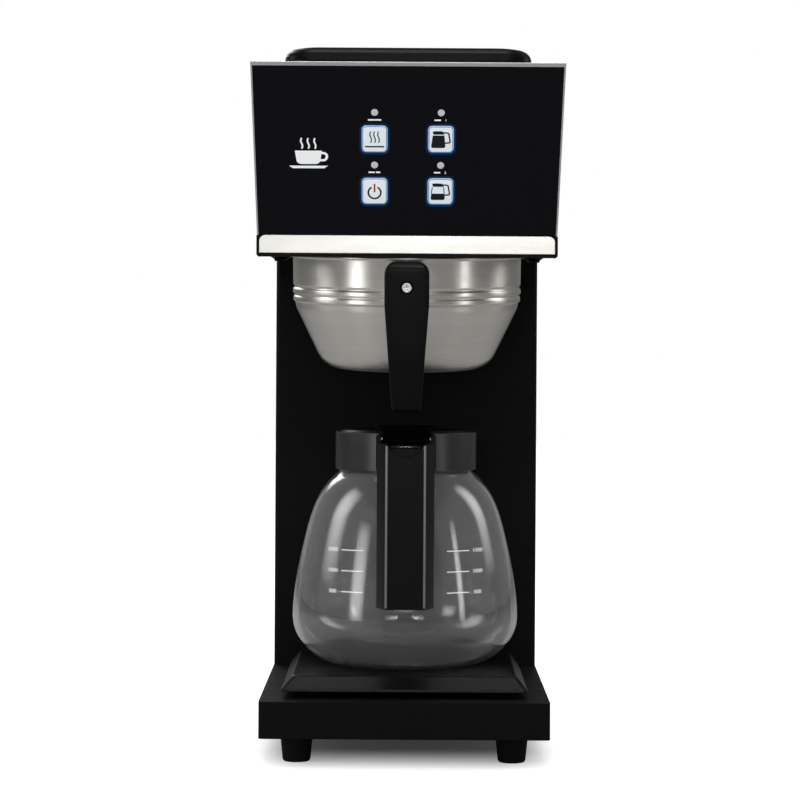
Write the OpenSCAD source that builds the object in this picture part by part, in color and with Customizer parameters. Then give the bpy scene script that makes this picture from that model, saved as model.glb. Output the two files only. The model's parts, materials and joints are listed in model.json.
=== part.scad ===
// Commercial filter coffee brewer: base with hotplate, column, overhanging head,
// pull-out brew basket and glass carafe. All sizes in millimetres, +Z up.
// The origin is at floor level, under the middle of the whole machine.
// The front faces -Y. Depths named "e" are measured back from the base's front edge.

/* [Base] */
// Width of the base
base_w = 196.5; // [192:0.5:200]
// Depth of the base, front edge to back
base_d = 365; // [360:1:370]
// Height of the base's side skirt
base_h = 25; // [24:0.5:28]
// Height of the feet under the base
foot_h = 19; // [17:0.5:22]
// Radius of a foot at its top
foot_r = 11.4; // [9:0.1:12]
// Thickness of the folded sheet metal
sheet = 1.5; // [1.2:0.1:1.8]

/* [Hotplate] */
// Side length of the hotplate at its lower edge
plate_w = 168; // [160:1:172]
// Side length of the hotplate's flat top
plate_top_w = 153; // [145:1:156]
// Height of the hotplate casting
plate_h = 10.2; // [9:0.1:12]
// Shadow gap between the base and the hotplate
plate_gap = 5; // [4.5:0.1:6]

/* [Column] */
// Width of the column
column_w = 196; // [192:0.5:196.5]
// Depth from the base's front edge to the column's front
column_e = 200; // [198:1:206]

/* [Head] */
// Width of the head's deck
head_w = 207; // [205:0.5:208]
// How far each side of the head flares out from bottom to top
head_flare = 2.2; // [0:0.1:2.4]
// Height of the head's lower edge above the floor
head_z = 343.5; // [343:0.5:345]
// Height of the black frame under the head
frame_h = 14.5; // [14:0.5:16]
// Height of the head's top deck above the floor
deck_z = 469.4; // [466:0.2:472]
// How far the control panel leans out from bottom to top
panel_lean = 50; // [40:1:52]

/* [Keys] */
// Half of the distance between the two key columns
key_x = 22; // [20:0.5:26]
// Width of a key
key_w = 16.6; // [15:0.1:17]
// Height of a key, along the panel
key_h = 18.5; // [17:0.1:19]
// How far a key travels
key_travel = 0.6; // [0.4:0.1:0.6]

/* [Brew basket] */
// Outer radius of the basket's upper band
basket_r = 80.9; // [80:0.1:81.2]
// Height of the basket, rim to underside
basket_h = 81; // [78:0.5:82]
// Tilt of the basket and its rails, front edge low
basket_tilt = 3.8; // [3.4:0.1:4]
// Wall thickness of the basket
basket_wall = 1.2; // [0.8:0.1:1.5]

/* [Carafe] */
// Largest radius of the glass
glass_r = 79.8; // [78:0.2:81]
// Wall thickness of the glass
glass_wall = 2.4; // [2:0.1:3]
// Outer radius of the neck collar
collar_r = 49.9; // [49.6:0.1:50.4]
// Reach of the handle's front face ahead of the carafe's axis
grip_reach = 118; // [114:0.5:120]

/* [Lid] */
// Width of the pour-in lid
lid_w = 171; // [166:1:174]
// Depth of the pour-in lid
lid_d = 190; // [186:1:192]
// Height of the pour-in lid over the deck
lid_h = 21; // [19:0.5:24]

/* [Hidden] */
$fn = 64;

inlet_flange = 2.5;
panel_e = 5;
front_y = -(base_d + inlet_flange - (panel_lean - panel_e)) / 2;
back_y = front_y + base_d;
panel_y = front_y + panel_e;
column_y = front_y + column_e;
rear_screw_x = column_w / 2 - 8;
rear_screw_z = [60, 150, 240, 330];

base_z = foot_h;
base_top = foot_h + base_h;
foot_x = 73.5;
foot_y = [front_y + 30, back_y - 30];
fit = 0.05;

plate_e = 98;
plate_y = front_y + plate_e;
plate_z = base_top + plate_gap;
plate_top = plate_z + plate_h;
plate_skin = 5;
post_x = 60;

frame_top = head_z + frame_h;
foot_w = head_w - 2 * head_flare;
frame_w = foot_w + 0.8;
frame_lip = 6.5;
web = 1.5;
web_z = frame_top - web;
skin = 1.2;
lean = atan(panel_lean / (deck_z - frame_top));
panel_len = norm([panel_lean, deck_z - frame_top]);
panel_t = 3;
panel_in = 0.3;
lip = 3;
upper_v = 68.6;
lower_v = 31.8;
lamp_up = 18.5;
board_y = 12.8;

rim_gap = 0.6;
basket_y = plate_y;
rim_z = head_z - rim_gap + (plate_e - panel_e) * tan(basket_tilt);
rim_r = basket_r + 7.1;
rim_t = 1.5;
rail_in = rim_r - 5.2;
rail_web = rim_r + 0.8;
rail_e = [18, 184];
rail_flange_w = 10;
rail_screw_x = rail_web + 6.2;
rail_screw_e = [40, 165];

basket_floor = 57;
handle_front = 103;
screw_h = -19.7;

heater_y = front_y + 230;
leg_x = 40;
heater_bend_z = 120;
tube_r = 6;
rod_r = 4.5;
rod_y = heater_y + tube_r + rod_r + 0.4;
hose_in = 5 + fit;
hose_out = 7;
pipe_z = 368;

// The spray line runs in the upright plane from the spray head to the heater's outlet leg
line_len = norm([leg_x, heater_y - basket_y]);
line_turn = -atan(leg_x / (heater_y - basket_y));
hose_bend = 16;
pipe_bend = 8;
pipe_end = line_len - hose_bend - 12;

tank_e = [40, 245];
tank_x = 84;
tank_z = 378;
tank_wall = 2.5;

mouth_x = 78;
mouth_e = [47, 213];
lid_e = 35;
hinge_inset = 4;
hinge_y = front_y + lid_e + lid_d - hinge_inset;
hinge_z = deck_z + 8;
ear_x = 60;

inlet_x = -55;
inlet_z = 76;
board_front = back_y - sheet - 22.6;
board_screw_x = [-16, 76];
board_screw_z = [186, 294];
panel_screw_x = 56;
panel_screw_v = [20, 96];

harness_x = 93;
harness_route = [
    [52, front_y - 6, 420.5], [52, front_y + 3, 424.5], [60, front_y + 14, 423],
    [74, front_y + 24, 410], [88, front_y + 33, 392], [harness_x, front_y + 44, 375],
    [harness_x, front_y + 58, 366], [harness_x, front_y + 78, 363], [harness_x, front_y + 150, 363],
    [harness_x, front_y + 220, 363], [86, front_y + 240, 362], [76, front_y + 258, 357],
    [71, front_y + 274, 346], [70, front_y + 286, 330], [70, front_y + 296, 312],
    [70, front_y + 312, 298], [70, front_y + 328, 292], [70, board_front, 290]
];

neck_r = collar_r - 2.9;
collar_z = 137.6;
collar_top = 163.9;
lid_axis_y = -54;
lid_axis_z = 160;

// The glass wall's middle line, from the centre of the foot to the top of the neck
glass_line = concat(
    [[0, 1.5], [46, 1.5]],
    curve([50, 1.6], [60, 3.2], [68, 11], 5),
    curve([70, 13.2], [glass_r - 1.2, 22], [glass_r - 1.2, 34], 6),
    curve([glass_r - 1.3, 38], [glass_r - 2.5, 62], [glass_r - 11.8, 98], 6),
    curve([glass_r - 12.8, 101.5], [glass_r - 18, 121], [neck_r + 3.5, 131.5], 6),
    [[neck_r - 0.4, 135], [neck_r - 1.2, 138], [neck_r - 1.2, 157]]
);

// ---- shared shapes ----

module rounded(w, d, r) {
    square([w - 2 * r, d], center = true);
    square([w, d - 2 * r], center = true);
    for (x = [-1, 1], y = [-1, 1])
        translate([x * (w / 2 - r), y * (d / 2 - r)])
            circle(r);
}

module ring(r_out, r_in, h) {
    difference() {
        cylinder(r = r_out, h = h);
        translate([0, 0, -1])
            cylinder(r = r_in, h = h + 2);
    }
}

// Pan-head screw, head down, shank up, with a cross recess in the head
module screw(head_r, head_h, shank_r, length) {
    difference() {
        cylinder(r = head_r, h = head_h);
        for (turn = [0, 90])
            rotate(turn)
                translate([-head_r * 0.6, -0.4, -1])
                    cube([head_r * 1.2, 0.8, 2]);
    }
    translate([0, 0, head_h])
        cylinder(r = shank_r, h = length);
}

// Places children in the control panel's own frame: X across, Z up the slope, Y inwards
module on_panel(x = 0, v = 0) {
    translate([0, panel_y, frame_top])
        rotate([lean, 0, 0])
            translate([x, 0, v])
                children();
}

// Places children in the basket's own tilted frame, with its rim's top at Z = 0
module in_basket() {
    translate([0, basket_y, rim_z])
        rotate([basket_tilt, 0, 0])
            children();
}

module in_carafe() {
    translate([0, plate_y, plate_top])
        children();
}

// ---- base ----

module base_shell() color("#17181a") {
    mid = front_y + base_d / 2;
    difference() {
        translate([0, mid, base_z])
            linear_extrude(base_h)
                rounded(base_w, base_d, 3);
        translate([0, mid, base_z + sheet])
            linear_extrude(base_h - 2 * sheet)
                rounded(base_w - 2 * sheet, base_d - 2 * sheet, 1.5);
        translate([-base_w / 2 + 12, front_y + 12, base_z - 1])
            cube([base_w - 24, base_d - 24, 5]);
        translate([-80, column_y + 15, base_z + 5])
            cube([160, base_d - column_e - 30, base_h]);
        for (x = [-post_x, post_x], y = [-post_x, post_x])
            translate([x, plate_y + y, base_z + 5])
                cylinder(r = 2.2, h = base_h);
        for (x = [-26, 26])
            translate([x, plate_y + 45, base_z + 5])
                cylinder(r = 4, h = base_h);
    }
}

module base_bottom_plate() color("#9a9c9f") {
    margin = sheet + 0.4;
    difference() {
        translate([-base_w / 2 + margin, front_y + margin, base_z + sheet])
            cube([base_w - 2 * margin, base_d - 2 * margin, sheet]);
        for (x = [-foot_x, foot_x], y = foot_y)
            translate([x, y, base_z])
                cylinder(r = 2.2, h = 5);
        for (row = [0 : 7])
            translate([-40, front_y + 130 + row * 12, base_z])
                cube([80, 4, 5]);
    }
}

module rubber_feet() color("#151515") {
    for (x = [-foot_x, foot_x], y = foot_y)
        translate([x, y, 0])
            difference() {
                rotate_extrude()
                    polygon([
                        [0, 0], [foot_r - 2.9, 0], [foot_r - 2.1, 0.8],
                        [foot_r, foot_h], [foot_r, foot_h + sheet], [0, foot_h + sheet]
                    ]);
                translate([0, 0, -1])
                    cylinder(r = 5, h = 13);
                cylinder(r = 2 + fit, h = foot_h + 5);
            }
}

module foot_screws() color("#b9bbbd") {
    head_h = 2.6;
    nut_z = base_z + 2 * sheet;
    for (x = [-foot_x, foot_x], y = foot_y)
        translate([x, y, 0]) {
            translate([0, 0, 12 - head_h])
                screw(3.5, head_h, 2, nut_z - 12 + 4);
            translate([0, 0, nut_z])
                difference() {
                    cylinder(r = 4, h = 3.2, $fn = 6);
                    translate([0, 0, -1])
                        cylinder(r = 2 + fit, h = 6);
                }
        }
}

// ---- hotplate ----

module hotplate() color("#1c1c1d") {
    half = plate_w / 2;
    top = plate_top_w / 2;
    edge = 1.5;
    outline = [
        [-half, 0], [half, 0], [half, edge], [top, plate_h], [-top, plate_h], [-half, edge]
    ];
    hollow_h = plate_h - plate_skin;
    translate([0, plate_y, plate_z])
        difference() {
            intersection() {
                translate([0, half, 0])
                    rotate([90, 0, 0])
                        linear_extrude(plate_w)
                            polygon(outline);
                translate([-half, 0, 0])
                    rotate([90, 0, 90])
                        linear_extrude(plate_w)
                            polygon(outline);
            }
            translate([-half + 10, -half + 10, -1])
                cube([plate_w - 20, plate_w - 20, hollow_h + 1]);
            for (x = [-post_x, post_x], y = [-post_x, post_x])
                translate([x, y, hollow_h - 1])
                    cylinder(r = 2 + fit, h = 4.5);
        }
}

module hotplate_posts() color("#8f9194") {
    for (x = [-post_x, post_x], y = [-post_x, post_x])
        translate([x, plate_y + y, base_top])
            ring(5, 2.2, plate_top - plate_skin - base_top);
}

module hotplate_screws() color("#b9bbbd") {
    head_h = 2.5;
    under_deck = base_top - sheet;
    for (x = [-post_x, post_x], y = [-post_x, post_x])
        translate([x, plate_y + y, under_deck - head_h])
            screw(3.5, head_h, 2, plate_top - 2.2 - under_deck);
}

module hotplate_element() color("#7d6f66") {
    rod = 3.2;
    ring_r = 52;
    z = plate_top - plate_skin - rod - fit;
    translate([0, plate_y, z]) {
        rotate([0, 0, 120])
            rotate_extrude(angle = 300)
                translate([ring_r, 0])
                    circle(rod);
        for (x = [-ring_r / 2, ring_r / 2])
            translate([x, ring_r * cos(30), base_z + 13 - z])
                cylinder(r = 2.2, h = z - base_z - 13);
    }
}

module hotplate_thermostat() color("#c9b27a") {
    top = plate_top - plate_skin - fit;
    translate([0, plate_y, top - 7]) {
        cylinder(r = 8, h = 7);
        for (x = [-4, 4])
            translate([x - 0.4, -3, -2])
                cube([0.8, 6, 2]);
    }
}

// ---- column ----

module column_cover() color("#131314") {
    depth = base_d - column_e;
    mid = column_y + depth / 2;
    inner_w = column_w - 2 * sheet;
    difference() {
        translate([0, mid, base_top])
            linear_extrude(web_z - base_top)
                difference() {
                    rounded(column_w, depth, 3);
                    difference() {
                        translate([0, sheet])
                            rounded(inner_w, depth, 1.5);
                        for (side = [-1, 1])
                            translate([side * (inner_w / 2 - 6), depth / 2 - 2.25])
                                square([12.01, 1.5], center = true);
                    }
                    translate([0, depth / 2])
                        square([inner_w, 3], center = true);
                }
        for (x = [-1, 1], z = rear_screw_z)
            translate([x * rear_screw_x, back_y - 6, z])
                rotate([-90, 0, 0])
                    cylinder(r = 1.6, h = 8);
    }
}

module column_rear_panel() color("#1a1a1b") {
    w = column_w - 2 * sheet - 0.4;
    difference() {
        translate([-w / 2, back_y - sheet, base_top + 0.2])
            cube([w, sheet, web_z - base_top - 0.4]);
        for (x = [-1, 1], z = rear_screw_z)
            translate([x * rear_screw_x, back_y - 5, z])
                rotate([-90, 0, 0])
                    cylinder(r = 1.7, h = 10);
        for (side = [-1, 1], row = [0 : 9])
            translate([side * 34 - 24, back_y - 5, 250 + row * 8])
                cube([48, 10, 3]);
        translate([inlet_x - 13.7, back_y - 5, inlet_z - 10.2])
            cube([27.4, 10, 20.4]);
    }
}

module rear_panel_screws() color("#b9bbbd") {
    for (x = [-1, 1], z = rear_screw_z)
        translate([x * rear_screw_x, back_y + 1.8, z])
            rotate([90, 0, 0])
                screw(2.8, 1.8, 1.5, 6);
}

// ---- head ----

module head_under_frame() color("#111112") {
    wall = 2;
    front = panel_y + skin;
    depth = back_y - front;
    r = 2;
    difference() {
        translate([0, back_y, head_z])
            rotate([90, 0, 0])
                linear_extrude(depth)
                    union() {
                        translate([-frame_w / 2, r])
                            square([frame_w, frame_h - r]);
                        translate([-frame_w / 2 + r, 0])
                            square([frame_w - 2 * r, frame_h - r]);
                        for (x = [-1, 1])
                            translate([x * (frame_w / 2 - r), r])
                                circle(r);
                    }
        translate([-frame_w / 2 + wall, front + wall, head_z - 1])
            cube([frame_w - 2 * wall, depth, frame_h - web + 1]);
        translate([-head_w, front + 8, head_z - 1])
            cube([2 * head_w, depth, frame_lip + 1]);
        translate([0, basket_y, web_z - 1])
            cylinder(r = 30, h = 5);
        translate([-85, column_y + 12, web_z - 1])
            cube([170, 138, 5]);
        for (x = [-1, 1], e = rail_screw_e)
            translate([x * rail_screw_x, front_y + e, web_z - 1])
                cylinder(r = 1.6, h = 5);
    }
    translate([-15, basket_y + rim_r + 1.2, rim_z + 2])
        cube([30, 2, web_z - rim_z - 1.5]);
}

module steel_strip() color("#d8d8d4") {
    w = foot_w - 3.2;
    r = 4;
    h = frame_h - 2.5;
    translate([0, panel_y + skin, head_z + 2.5])
        rotate([90, 0, 0])
            linear_extrude(skin)
                union() {
                    translate([-w / 2, 0])
                        square([w, h - r]);
                    translate([-w / 2 + r, 0])
                        square([w - 2 * r, h]);
                    for (x = [-1, 1])
                        translate([x * (w / 2 - r), h - r])
                            circle(r);
                }
}

// A bar along X with the given outline in the Y-Z plane, cut to the head's flared front view.
// Its sides lie margin inside the head's own, and it reaches over below the head's lower edge.
module flared(outline, margin = 0, over = 0) {
    half_foot = foot_w / 2 - margin - over * head_flare / (deck_z - frame_top);
    half_top = head_w / 2 - margin;
    intersection() {
        translate([-head_w, 0, 0])
            rotate([90, 0, 90])
                linear_extrude(2 * head_w)
                    polygon(outline);
        translate([0, back_y + 10, 0])
            rotate([90, 0, 0])
                linear_extrude(base_d + 100)
                    polygon([
                        [-half_foot, frame_top - over], [half_foot, frame_top - over],
                        [half_top, deck_z], [-half_top, deck_z]
                    ]);
    }
}

module head_shell() color("#cfcfcc") {
    over = 5;
    front = panel_y - panel_lean;
    side = [[panel_y, frame_top], [front, deck_z], [back_y, deck_z], [back_y, frame_top]];
    hollow = [
        [front - over, frame_top - over], [front - over, deck_z - skin],
        [back_y - skin, deck_z - skin], [back_y - skin, frame_top - over]
    ];
    difference() {
        flared(side);
        flared(hollow, skin, over);
        translate([-mouth_x, front_y + mouth_e[0], deck_z - 5])
            cube([2 * mouth_x, mouth_e[1] - mouth_e[0], 10]);
        for (row = [0 : 4])
            translate([-50, back_y - 5, 390 + row * 10])
                cube([100, 10, 3]);
    }
    intersection() {
        flared(side);
        on_panel(0, panel_len - lip)
            translate([-head_w / 2, 0, 0])
                cube([head_w, skin, lip]);
    }
}

// Half the panel's width at a height v up its slope
function panel_half(v) = foot_w / 2 - skin - 0.2 + head_flare * v / panel_len;

module control_panel() color("#141517") {
    low = 0.4;
    high = panel_len - lip - 0.2;
    difference() {
        on_panel()
            translate([0, panel_in + panel_t, 0])
                rotate([90, 0, 0])
                    linear_extrude(panel_t)
                        polygon([
                            [-panel_half(low), low], [panel_half(low), low],
                            [panel_half(high), high], [-panel_half(high), high]
                        ]);
        for (x = [-key_x, key_x], v = [upper_v, lower_v])
            on_panel(x, v) {
                cube([key_w + 0.6, 20, key_h + 0.6], center = true);
                translate([0, -5, lamp_up])
                    rotate([-90, 0, 0])
                        cylinder(r = 2.4, h = 20);
            }
    }
}

module indicator_lenses() color("#d9dcde") {
    for (x = [-key_x, key_x], v = [upper_v, lower_v])
        on_panel(x, v + lamp_up)
            translate([0, 0.1, 0])
                rotate([-90, 0, 0])
                    cylinder(r = 2.35, h = 9);
}

module key(x, v) {
    on_panel(x, v) {
        translate([-key_w / 2, panel_in - 0.4, -key_h / 2])
            cube([key_w, panel_t + 0.5, key_h]);
        translate([-key_w / 2 - 1.7, panel_in + panel_t + 0.1, -key_h / 2 - 1.7])
            cube([key_w + 3.4, 1.2, key_h + 3.4]);
        translate([0, panel_in + panel_t + 1.3, 0])
            rotate([-90, 0, 0])
                cylinder(r = 2, h = 3.2);
    }
}

module key_warmer() color("#e6edf2") key(-key_x, upper_v);

module key_power() color("#e6edf2") key(-key_x, lower_v);

module key_brew_full() color("#e6edf2") key(key_x, upper_v);

module key_brew_half() color("#e6edf2") key(key_x, lower_v);

module control_board() color("#1f5c3a") {
    difference() {
        on_panel(0, 14)
            translate([-62, board_y, 0])
                cube([124, 1.6, 88]);
        for (x = [-panel_screw_x, panel_screw_x], v = panel_screw_v)
            on_panel(x, v)
                rotate([-90, 0, 0])
                    cylinder(r = 1.5, h = 30);
    }
}

module board_standoffs() color("#d6d2c4") {
    for (x = [-panel_screw_x, panel_screw_x], v = panel_screw_v)
        on_panel(x, v)
            translate([0, panel_in + panel_t, 0])
                rotate([-90, 0, 0])
                    ring(3, 1.5, board_y - panel_in - panel_t);
    for (x = board_screw_x, z = board_screw_z)
        translate([x, back_y - sheet, z])
            rotate([90, 0, 0])
                ring(3, 1.5, 21);
}

module tact_switches() color("#3a3c40") {
    for (x = [-key_x, key_x], v = [upper_v, lower_v])
        on_panel(x, v) {
            translate([-3, board_y - 3.6, -3])
                cube([6, 3.6, 6]);
            translate([0, panel_in + panel_t + 4.5 + key_travel + 0.1, 0])
                rotate([-90, 0, 0])
                    cylinder(r = 1.75, h = 1);
        }
}

// ---- basket rails ----

module basket_rail() {
    length = rail_e[1] - rail_e[0];
    start = rail_e[0] - plate_e;
    tray_t = 1.2;
    z = -rim_t - 0.3 - tray_t;
    difference() {
        in_basket()
            union() {
                translate([rail_in, start, z])
                    cube([rail_web - rail_in + tray_t, length, tray_t]);
                translate([rail_web, start, z])
                    cube([tray_t, length, 30]);
            }
        translate([0, front_y, web_z])
            cube([150, 300, 60]);
    }
    difference() {
        translate([rail_web, front_y + rail_e[0] + 2, web_z - tray_t])
            cube([rail_flange_w, length - 4, tray_t]);
        for (e = rail_screw_e)
            translate([rail_screw_x, front_y + e, web_z - 5])
                cylinder(r = 1.6, h = 10);
    }
}

module basket_rail_left() color("#1d1d1e") mirror([1, 0, 0]) basket_rail();

module basket_rail_right() color("#1d1d1e") basket_rail();

module rail_screws() color("#b9bbbd") {
    head_h = 1.6;
    for (x = [-1, 1], e = rail_screw_e)
        translate([x * rail_screw_x, front_y + e, web_z - 1.2 - head_h])
            screw(2.4, head_h, 1.5, 5);
}

// ---- water path ----

module water_reservoir() color("#e4e2d8") {
    x = tank_x;
    y = front_y + tank_e[0];
    length = tank_e[1] - tank_e[0];
    top = deck_z - skin;
    flange = 6;
    difference() {
        union() {
            translate([-x, y, tank_z])
                cube([2 * x, length, top - tank_z]);
            translate([-x - flange, y - flange, top - tank_wall])
                cube([2 * (x + flange), length + 2 * flange, tank_wall]);
            translate([-leg_x, heater_y, tank_z - 16])
                cylinder(r = 5, h = 20);
        }
        translate([-x + tank_wall, y + tank_wall, tank_z + tank_wall])
            cube([2 * (x - tank_wall), length - 2 * tank_wall, top - tank_z]);
        translate([-leg_x, heater_y, tank_z - 20])
            cylinder(r = 3.5, h = 40);
    }
}

module level_probes() color("#c4c6c8") {
    y = front_y + tank_e[1] - tank_wall - 14;
    translate([45, y, 452])
        cube([30, 14, 10]);
    for (x = [52, 68])
        translate([x, y + 7, tank_z + 8])
            cylinder(r = 1.5, h = 452 - tank_z - 8);
}

module check_valve() color("#e9e7df") {
    translate([-leg_x, heater_y, 296])
        difference() {
            union() {
                cylinder(r = 5, h = 62);
                translate([0, 0, 16])
                    cylinder(r = 9, h = 22);
            }
            translate([0, 0, -1])
                cylinder(r = 3, h = 64);
        }
}

module inlet_hose() color("#e8e4dc") {
    translate([-leg_x, heater_y, 235])
        ring(hose_out, hose_in, 308 - 235);
    translate([-leg_x, heater_y, 346])
        ring(hose_out, hose_in, 374 - 346);
}

// The spray line runs in the upright plane from the spray head to the heater's outlet leg
module on_line() {
    translate([0, basket_y, 0])
        rotate([0, 0, line_turn])
            children();
}

// A quarter bend of a round bar: starts upright at Y = 0 and ends level, heading +Y
module quarter_bend(bend_r, r) {
    translate([0, bend_r, 0])
        rotate([90, 0, -90])
            rotate_extrude(angle = 90)
                translate([bend_r, 0])
                    circle(r);
}

module riser_core(r, over) {
    on_line() {
        translate([0, line_len, 235 - over])
            cylinder(r = r, h = pipe_z - hose_bend - 235 + over);
        translate([0, line_len, pipe_z - hose_bend])
            mirror([0, 1, 0])
                quarter_bend(hose_bend, r);
        translate([0, pipe_end - 12 - over, pipe_z])
            rotate([-90, 0, 0])
                cylinder(r = r, h = 24 + over);
    }
}

module riser_hose() color("#e8e4dc") {
    difference() {
        riser_core(hose_out, 0);
        riser_core(hose_in, 1);
    }
}

module pipe_core(r, over) {
    on_line() {
        translate([0, 0, pipe_z - pipe_bend - 1 - over])
            cylinder(r = r, h = 1 + over);
        translate([0, 0, pipe_z - pipe_bend])
            quarter_bend(pipe_bend, r);
        translate([0, pipe_bend, pipe_z])
            rotate([-90, 0, 0])
                cylinder(r = r, h = pipe_end - pipe_bend + over);
    }
}

module spray_pipe() color("#bfc1c2") {
    difference() {
        pipe_core(5, 0);
        pipe_core(3.5, 1);
    }
}

module spray_head() color("#d6d4cc") {
    r = 27;
    z = 353.4;
    boss = pipe_z - pipe_bend - 1;
    translate([0, basket_y, 0])
        difference() {
            translate([0, 0, z])
                rotate_extrude()
                    polygon([
                        [0, 0], [r, 0], [r, 3.2], [6, boss - z], [3.5, boss - z],
                        [3.5, boss - z - 1.5], [r - 2, 2.4], [r - 2, 1.2], [0, 1.2]
                    ]);
            for (turn = [0 : 45 : 315])
                rotate(turn)
                    translate([16, 0, z - 1])
                        cylinder(r = 1.2, h = 2.5);
            translate([0, 0, z - 1])
                cylinder(r = 1.6, h = 2.5);
        }
}

module hose_clamps() color("#b4b6b8") {
    places = [[-leg_x, 239], [leg_x, 239], [-leg_x, 299], [-leg_x, 349], [-leg_x, 365]];
    for (p = places)
        translate([p[0], heater_y, p[1]]) {
            ring(hose_out + 0.9, hose_out + fit, 5);
            translate([-3, hose_out + 0.8, 0])
                cube([6, 4, 5]);
        }
}

module u_tube(r, top) {
    for (x = [-leg_x, leg_x])
        translate([x, 0, heater_bend_z])
            cylinder(r = r, h = top - heater_bend_z);
    translate([0, 0, heater_bend_z])
        rotate([90, 180, 0])
            rotate_extrude(angle = 180)
                translate([leg_x, 0])
                    circle(r);
}

module flow_heater() color("#a9acae") {
    translate([0, heater_y, 0])
        difference() {
            union() {
                u_tube(tube_r, 232);
                for (x = [-leg_x, leg_x])
                    translate([x, 0, 232])
                        cylinder(r = 5, h = 15);
            }
            u_tube(3.6, 250);
        }
}

module heating_element() color("#6f6a66") {
    translate([0, rod_y, 0]) {
        u_tube(rod_r, 215);
        for (x = [-leg_x, leg_x])
            translate([x, 0, 215])
                cylinder(r = 1.5, h = 12);
    }
}

module heater_brackets() color("#9da0a2") {
    front = column_y + sheet;
    for (x = [-leg_x, leg_x], z = [145, 200])
        difference() {
            translate([x - 10, front, z])
                cube([20, rod_y + rod_r + 3 - front, 7]);
            translate([x, heater_y, z - 1])
                cylinder(r = tube_r + fit, h = 9);
            translate([x, rod_y, z - 1])
                cylinder(r = rod_r + fit, h = 9);
        }
}

module heater_thermostats() color("#c9b27a") {
    for (p = [[0, 80], [-leg_x, 180]])
        translate([p[0], heater_y - tube_r - 0.1, p[1]])
            rotate([90, 0, 0]) {
                cylinder(r = 8, h = 7);
                for (x = [-4, 4])
                    translate([x - 0.4, -3, 7])
                        cube([0.8, 6, 5]);
            }
}

// ---- electrics ----

module power_board() color("#1f5c3a") {
    difference() {
        translate([-24, back_y - sheet - 22.6, 178])
            cube([108, 1.6, 124]);
        for (x = board_screw_x, z = board_screw_z)
            translate([x, back_y - 30, z])
                rotate([-90, 0, 0])
                    cylinder(r = 1.5, h = 20);
    }
}

module transformer() color("#b08b3e") {
    translate([-8, board_front - 30, 196])
        cube([38, 30, 32]);
    translate([-12, board_front - 24, 200])
        cube([46, 18, 24]);
}

module power_relays() color("#2b3a63") {
    for (x = [-6, 18, 42])
        translate([x, board_front - 16, 250])
            cube([15.5, 16, 19]);
}

module terminal_block() color("#e9e6dc") {
    difference() {
        translate([0, front_y + 300, base_z + 2 * sheet])
            cube([62, 20, 17]);
        for (n = [0 : 5])
            translate([6 + n * 10, front_y + 310, base_z + 2 * sheet + 6])
                cylinder(r = 2.5, h = 20);
    }
}

module power_inlet() color("#101011") {
    translate([inlet_x, back_y, inlet_z])
        difference() {
            union() {
                translate([-25, 0, -11.5])
                    cube([50, inlet_flange, 23]);
                translate([-13.5, -22, -10])
                    cube([27, 22, 20]);
            }
            translate([-12, -17, -8])
                cube([24, 30, 16]);
            for (x = [-20, 20])
                translate([x, -1, 0])
                    rotate([-90, 0, 0])
                        cylinder(r = 1.7, h = 10);
        }
}

module inlet_pins() color("#c8b873") {
    for (p = [[-7, -3], [7, -3], [0, 3]])
        translate([inlet_x + p[0] - 1, back_y - 17, inlet_z + p[1] - 2])
            cube([2, 11, 4]);
}

// A cable swept along its route: one ring of points, square to the route, at each route point
module cable(route, r) {
    sides = 8;
    last = len(route) - 1;
    rings = [
        for (n = [0 : last])
            let (
                run = route[min(n + 1, last)] - route[max(n - 1, 0)],
                ahead = run / norm(run),
                across = cross(ahead, abs(ahead.z) > 0.9 ? [0, 1, 0] : [0, 0, 1]),
                side = across / norm(across),
                up = cross(side, ahead)
            )
                for (k = [0 : sides - 1])
                    route[n] + r * (cos(k * 360 / sides) * side + sin(k * 360 / sides) * up)
    ];
    walls = [
        for (n = [0 : last - 1], k = [0 : sides - 1])
            let (next = (k + 1) % sides)
                [n * sides + k, n * sides + next, (n + 1) * sides + next, (n + 1) * sides + k]
    ];
    ends = [
        [for (k = [sides - 1 : -1 : 0]) k],
        [for (k = [0 : sides - 1]) last * sides + k]
    ];
    polyhedron(points = rings, faces = concat(walls, ends));
}

module main_harness() color("#26272a") cable(harness_route, 3);

// ---- pour-in lid ----

module lid_hinge_bracket() color("#1c1c1d") {
    for (side = [-1, 1])
        difference() {
            union() {
                translate([side * ear_x - 11, hinge_y - 3, deck_z])
                    cube([22, 6, 2]);
                translate([side * ear_x - 2.5, hinge_y - 3, deck_z])
                    cube([5, 6, hinge_z - deck_z]);
                translate([side * ear_x - 2.5, hinge_y, hinge_z])
                    rotate([0, 90, 0])
                        cylinder(r = 3, h = 5);
            }
            translate([side * ear_x - 15, hinge_y, hinge_z])
                rotate([0, 90, 0])
                    cylinder(r = 1.5 + fit, h = 30);
        }
}

module lid_hinge_pins() color("#b9bbbd") {
    for (side = [-1, 1])
        translate([side * ear_x - 8, hinge_y, hinge_z])
            rotate([0, 90, 0])
                cylinder(r = 1.5, h = 16);
}

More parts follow.
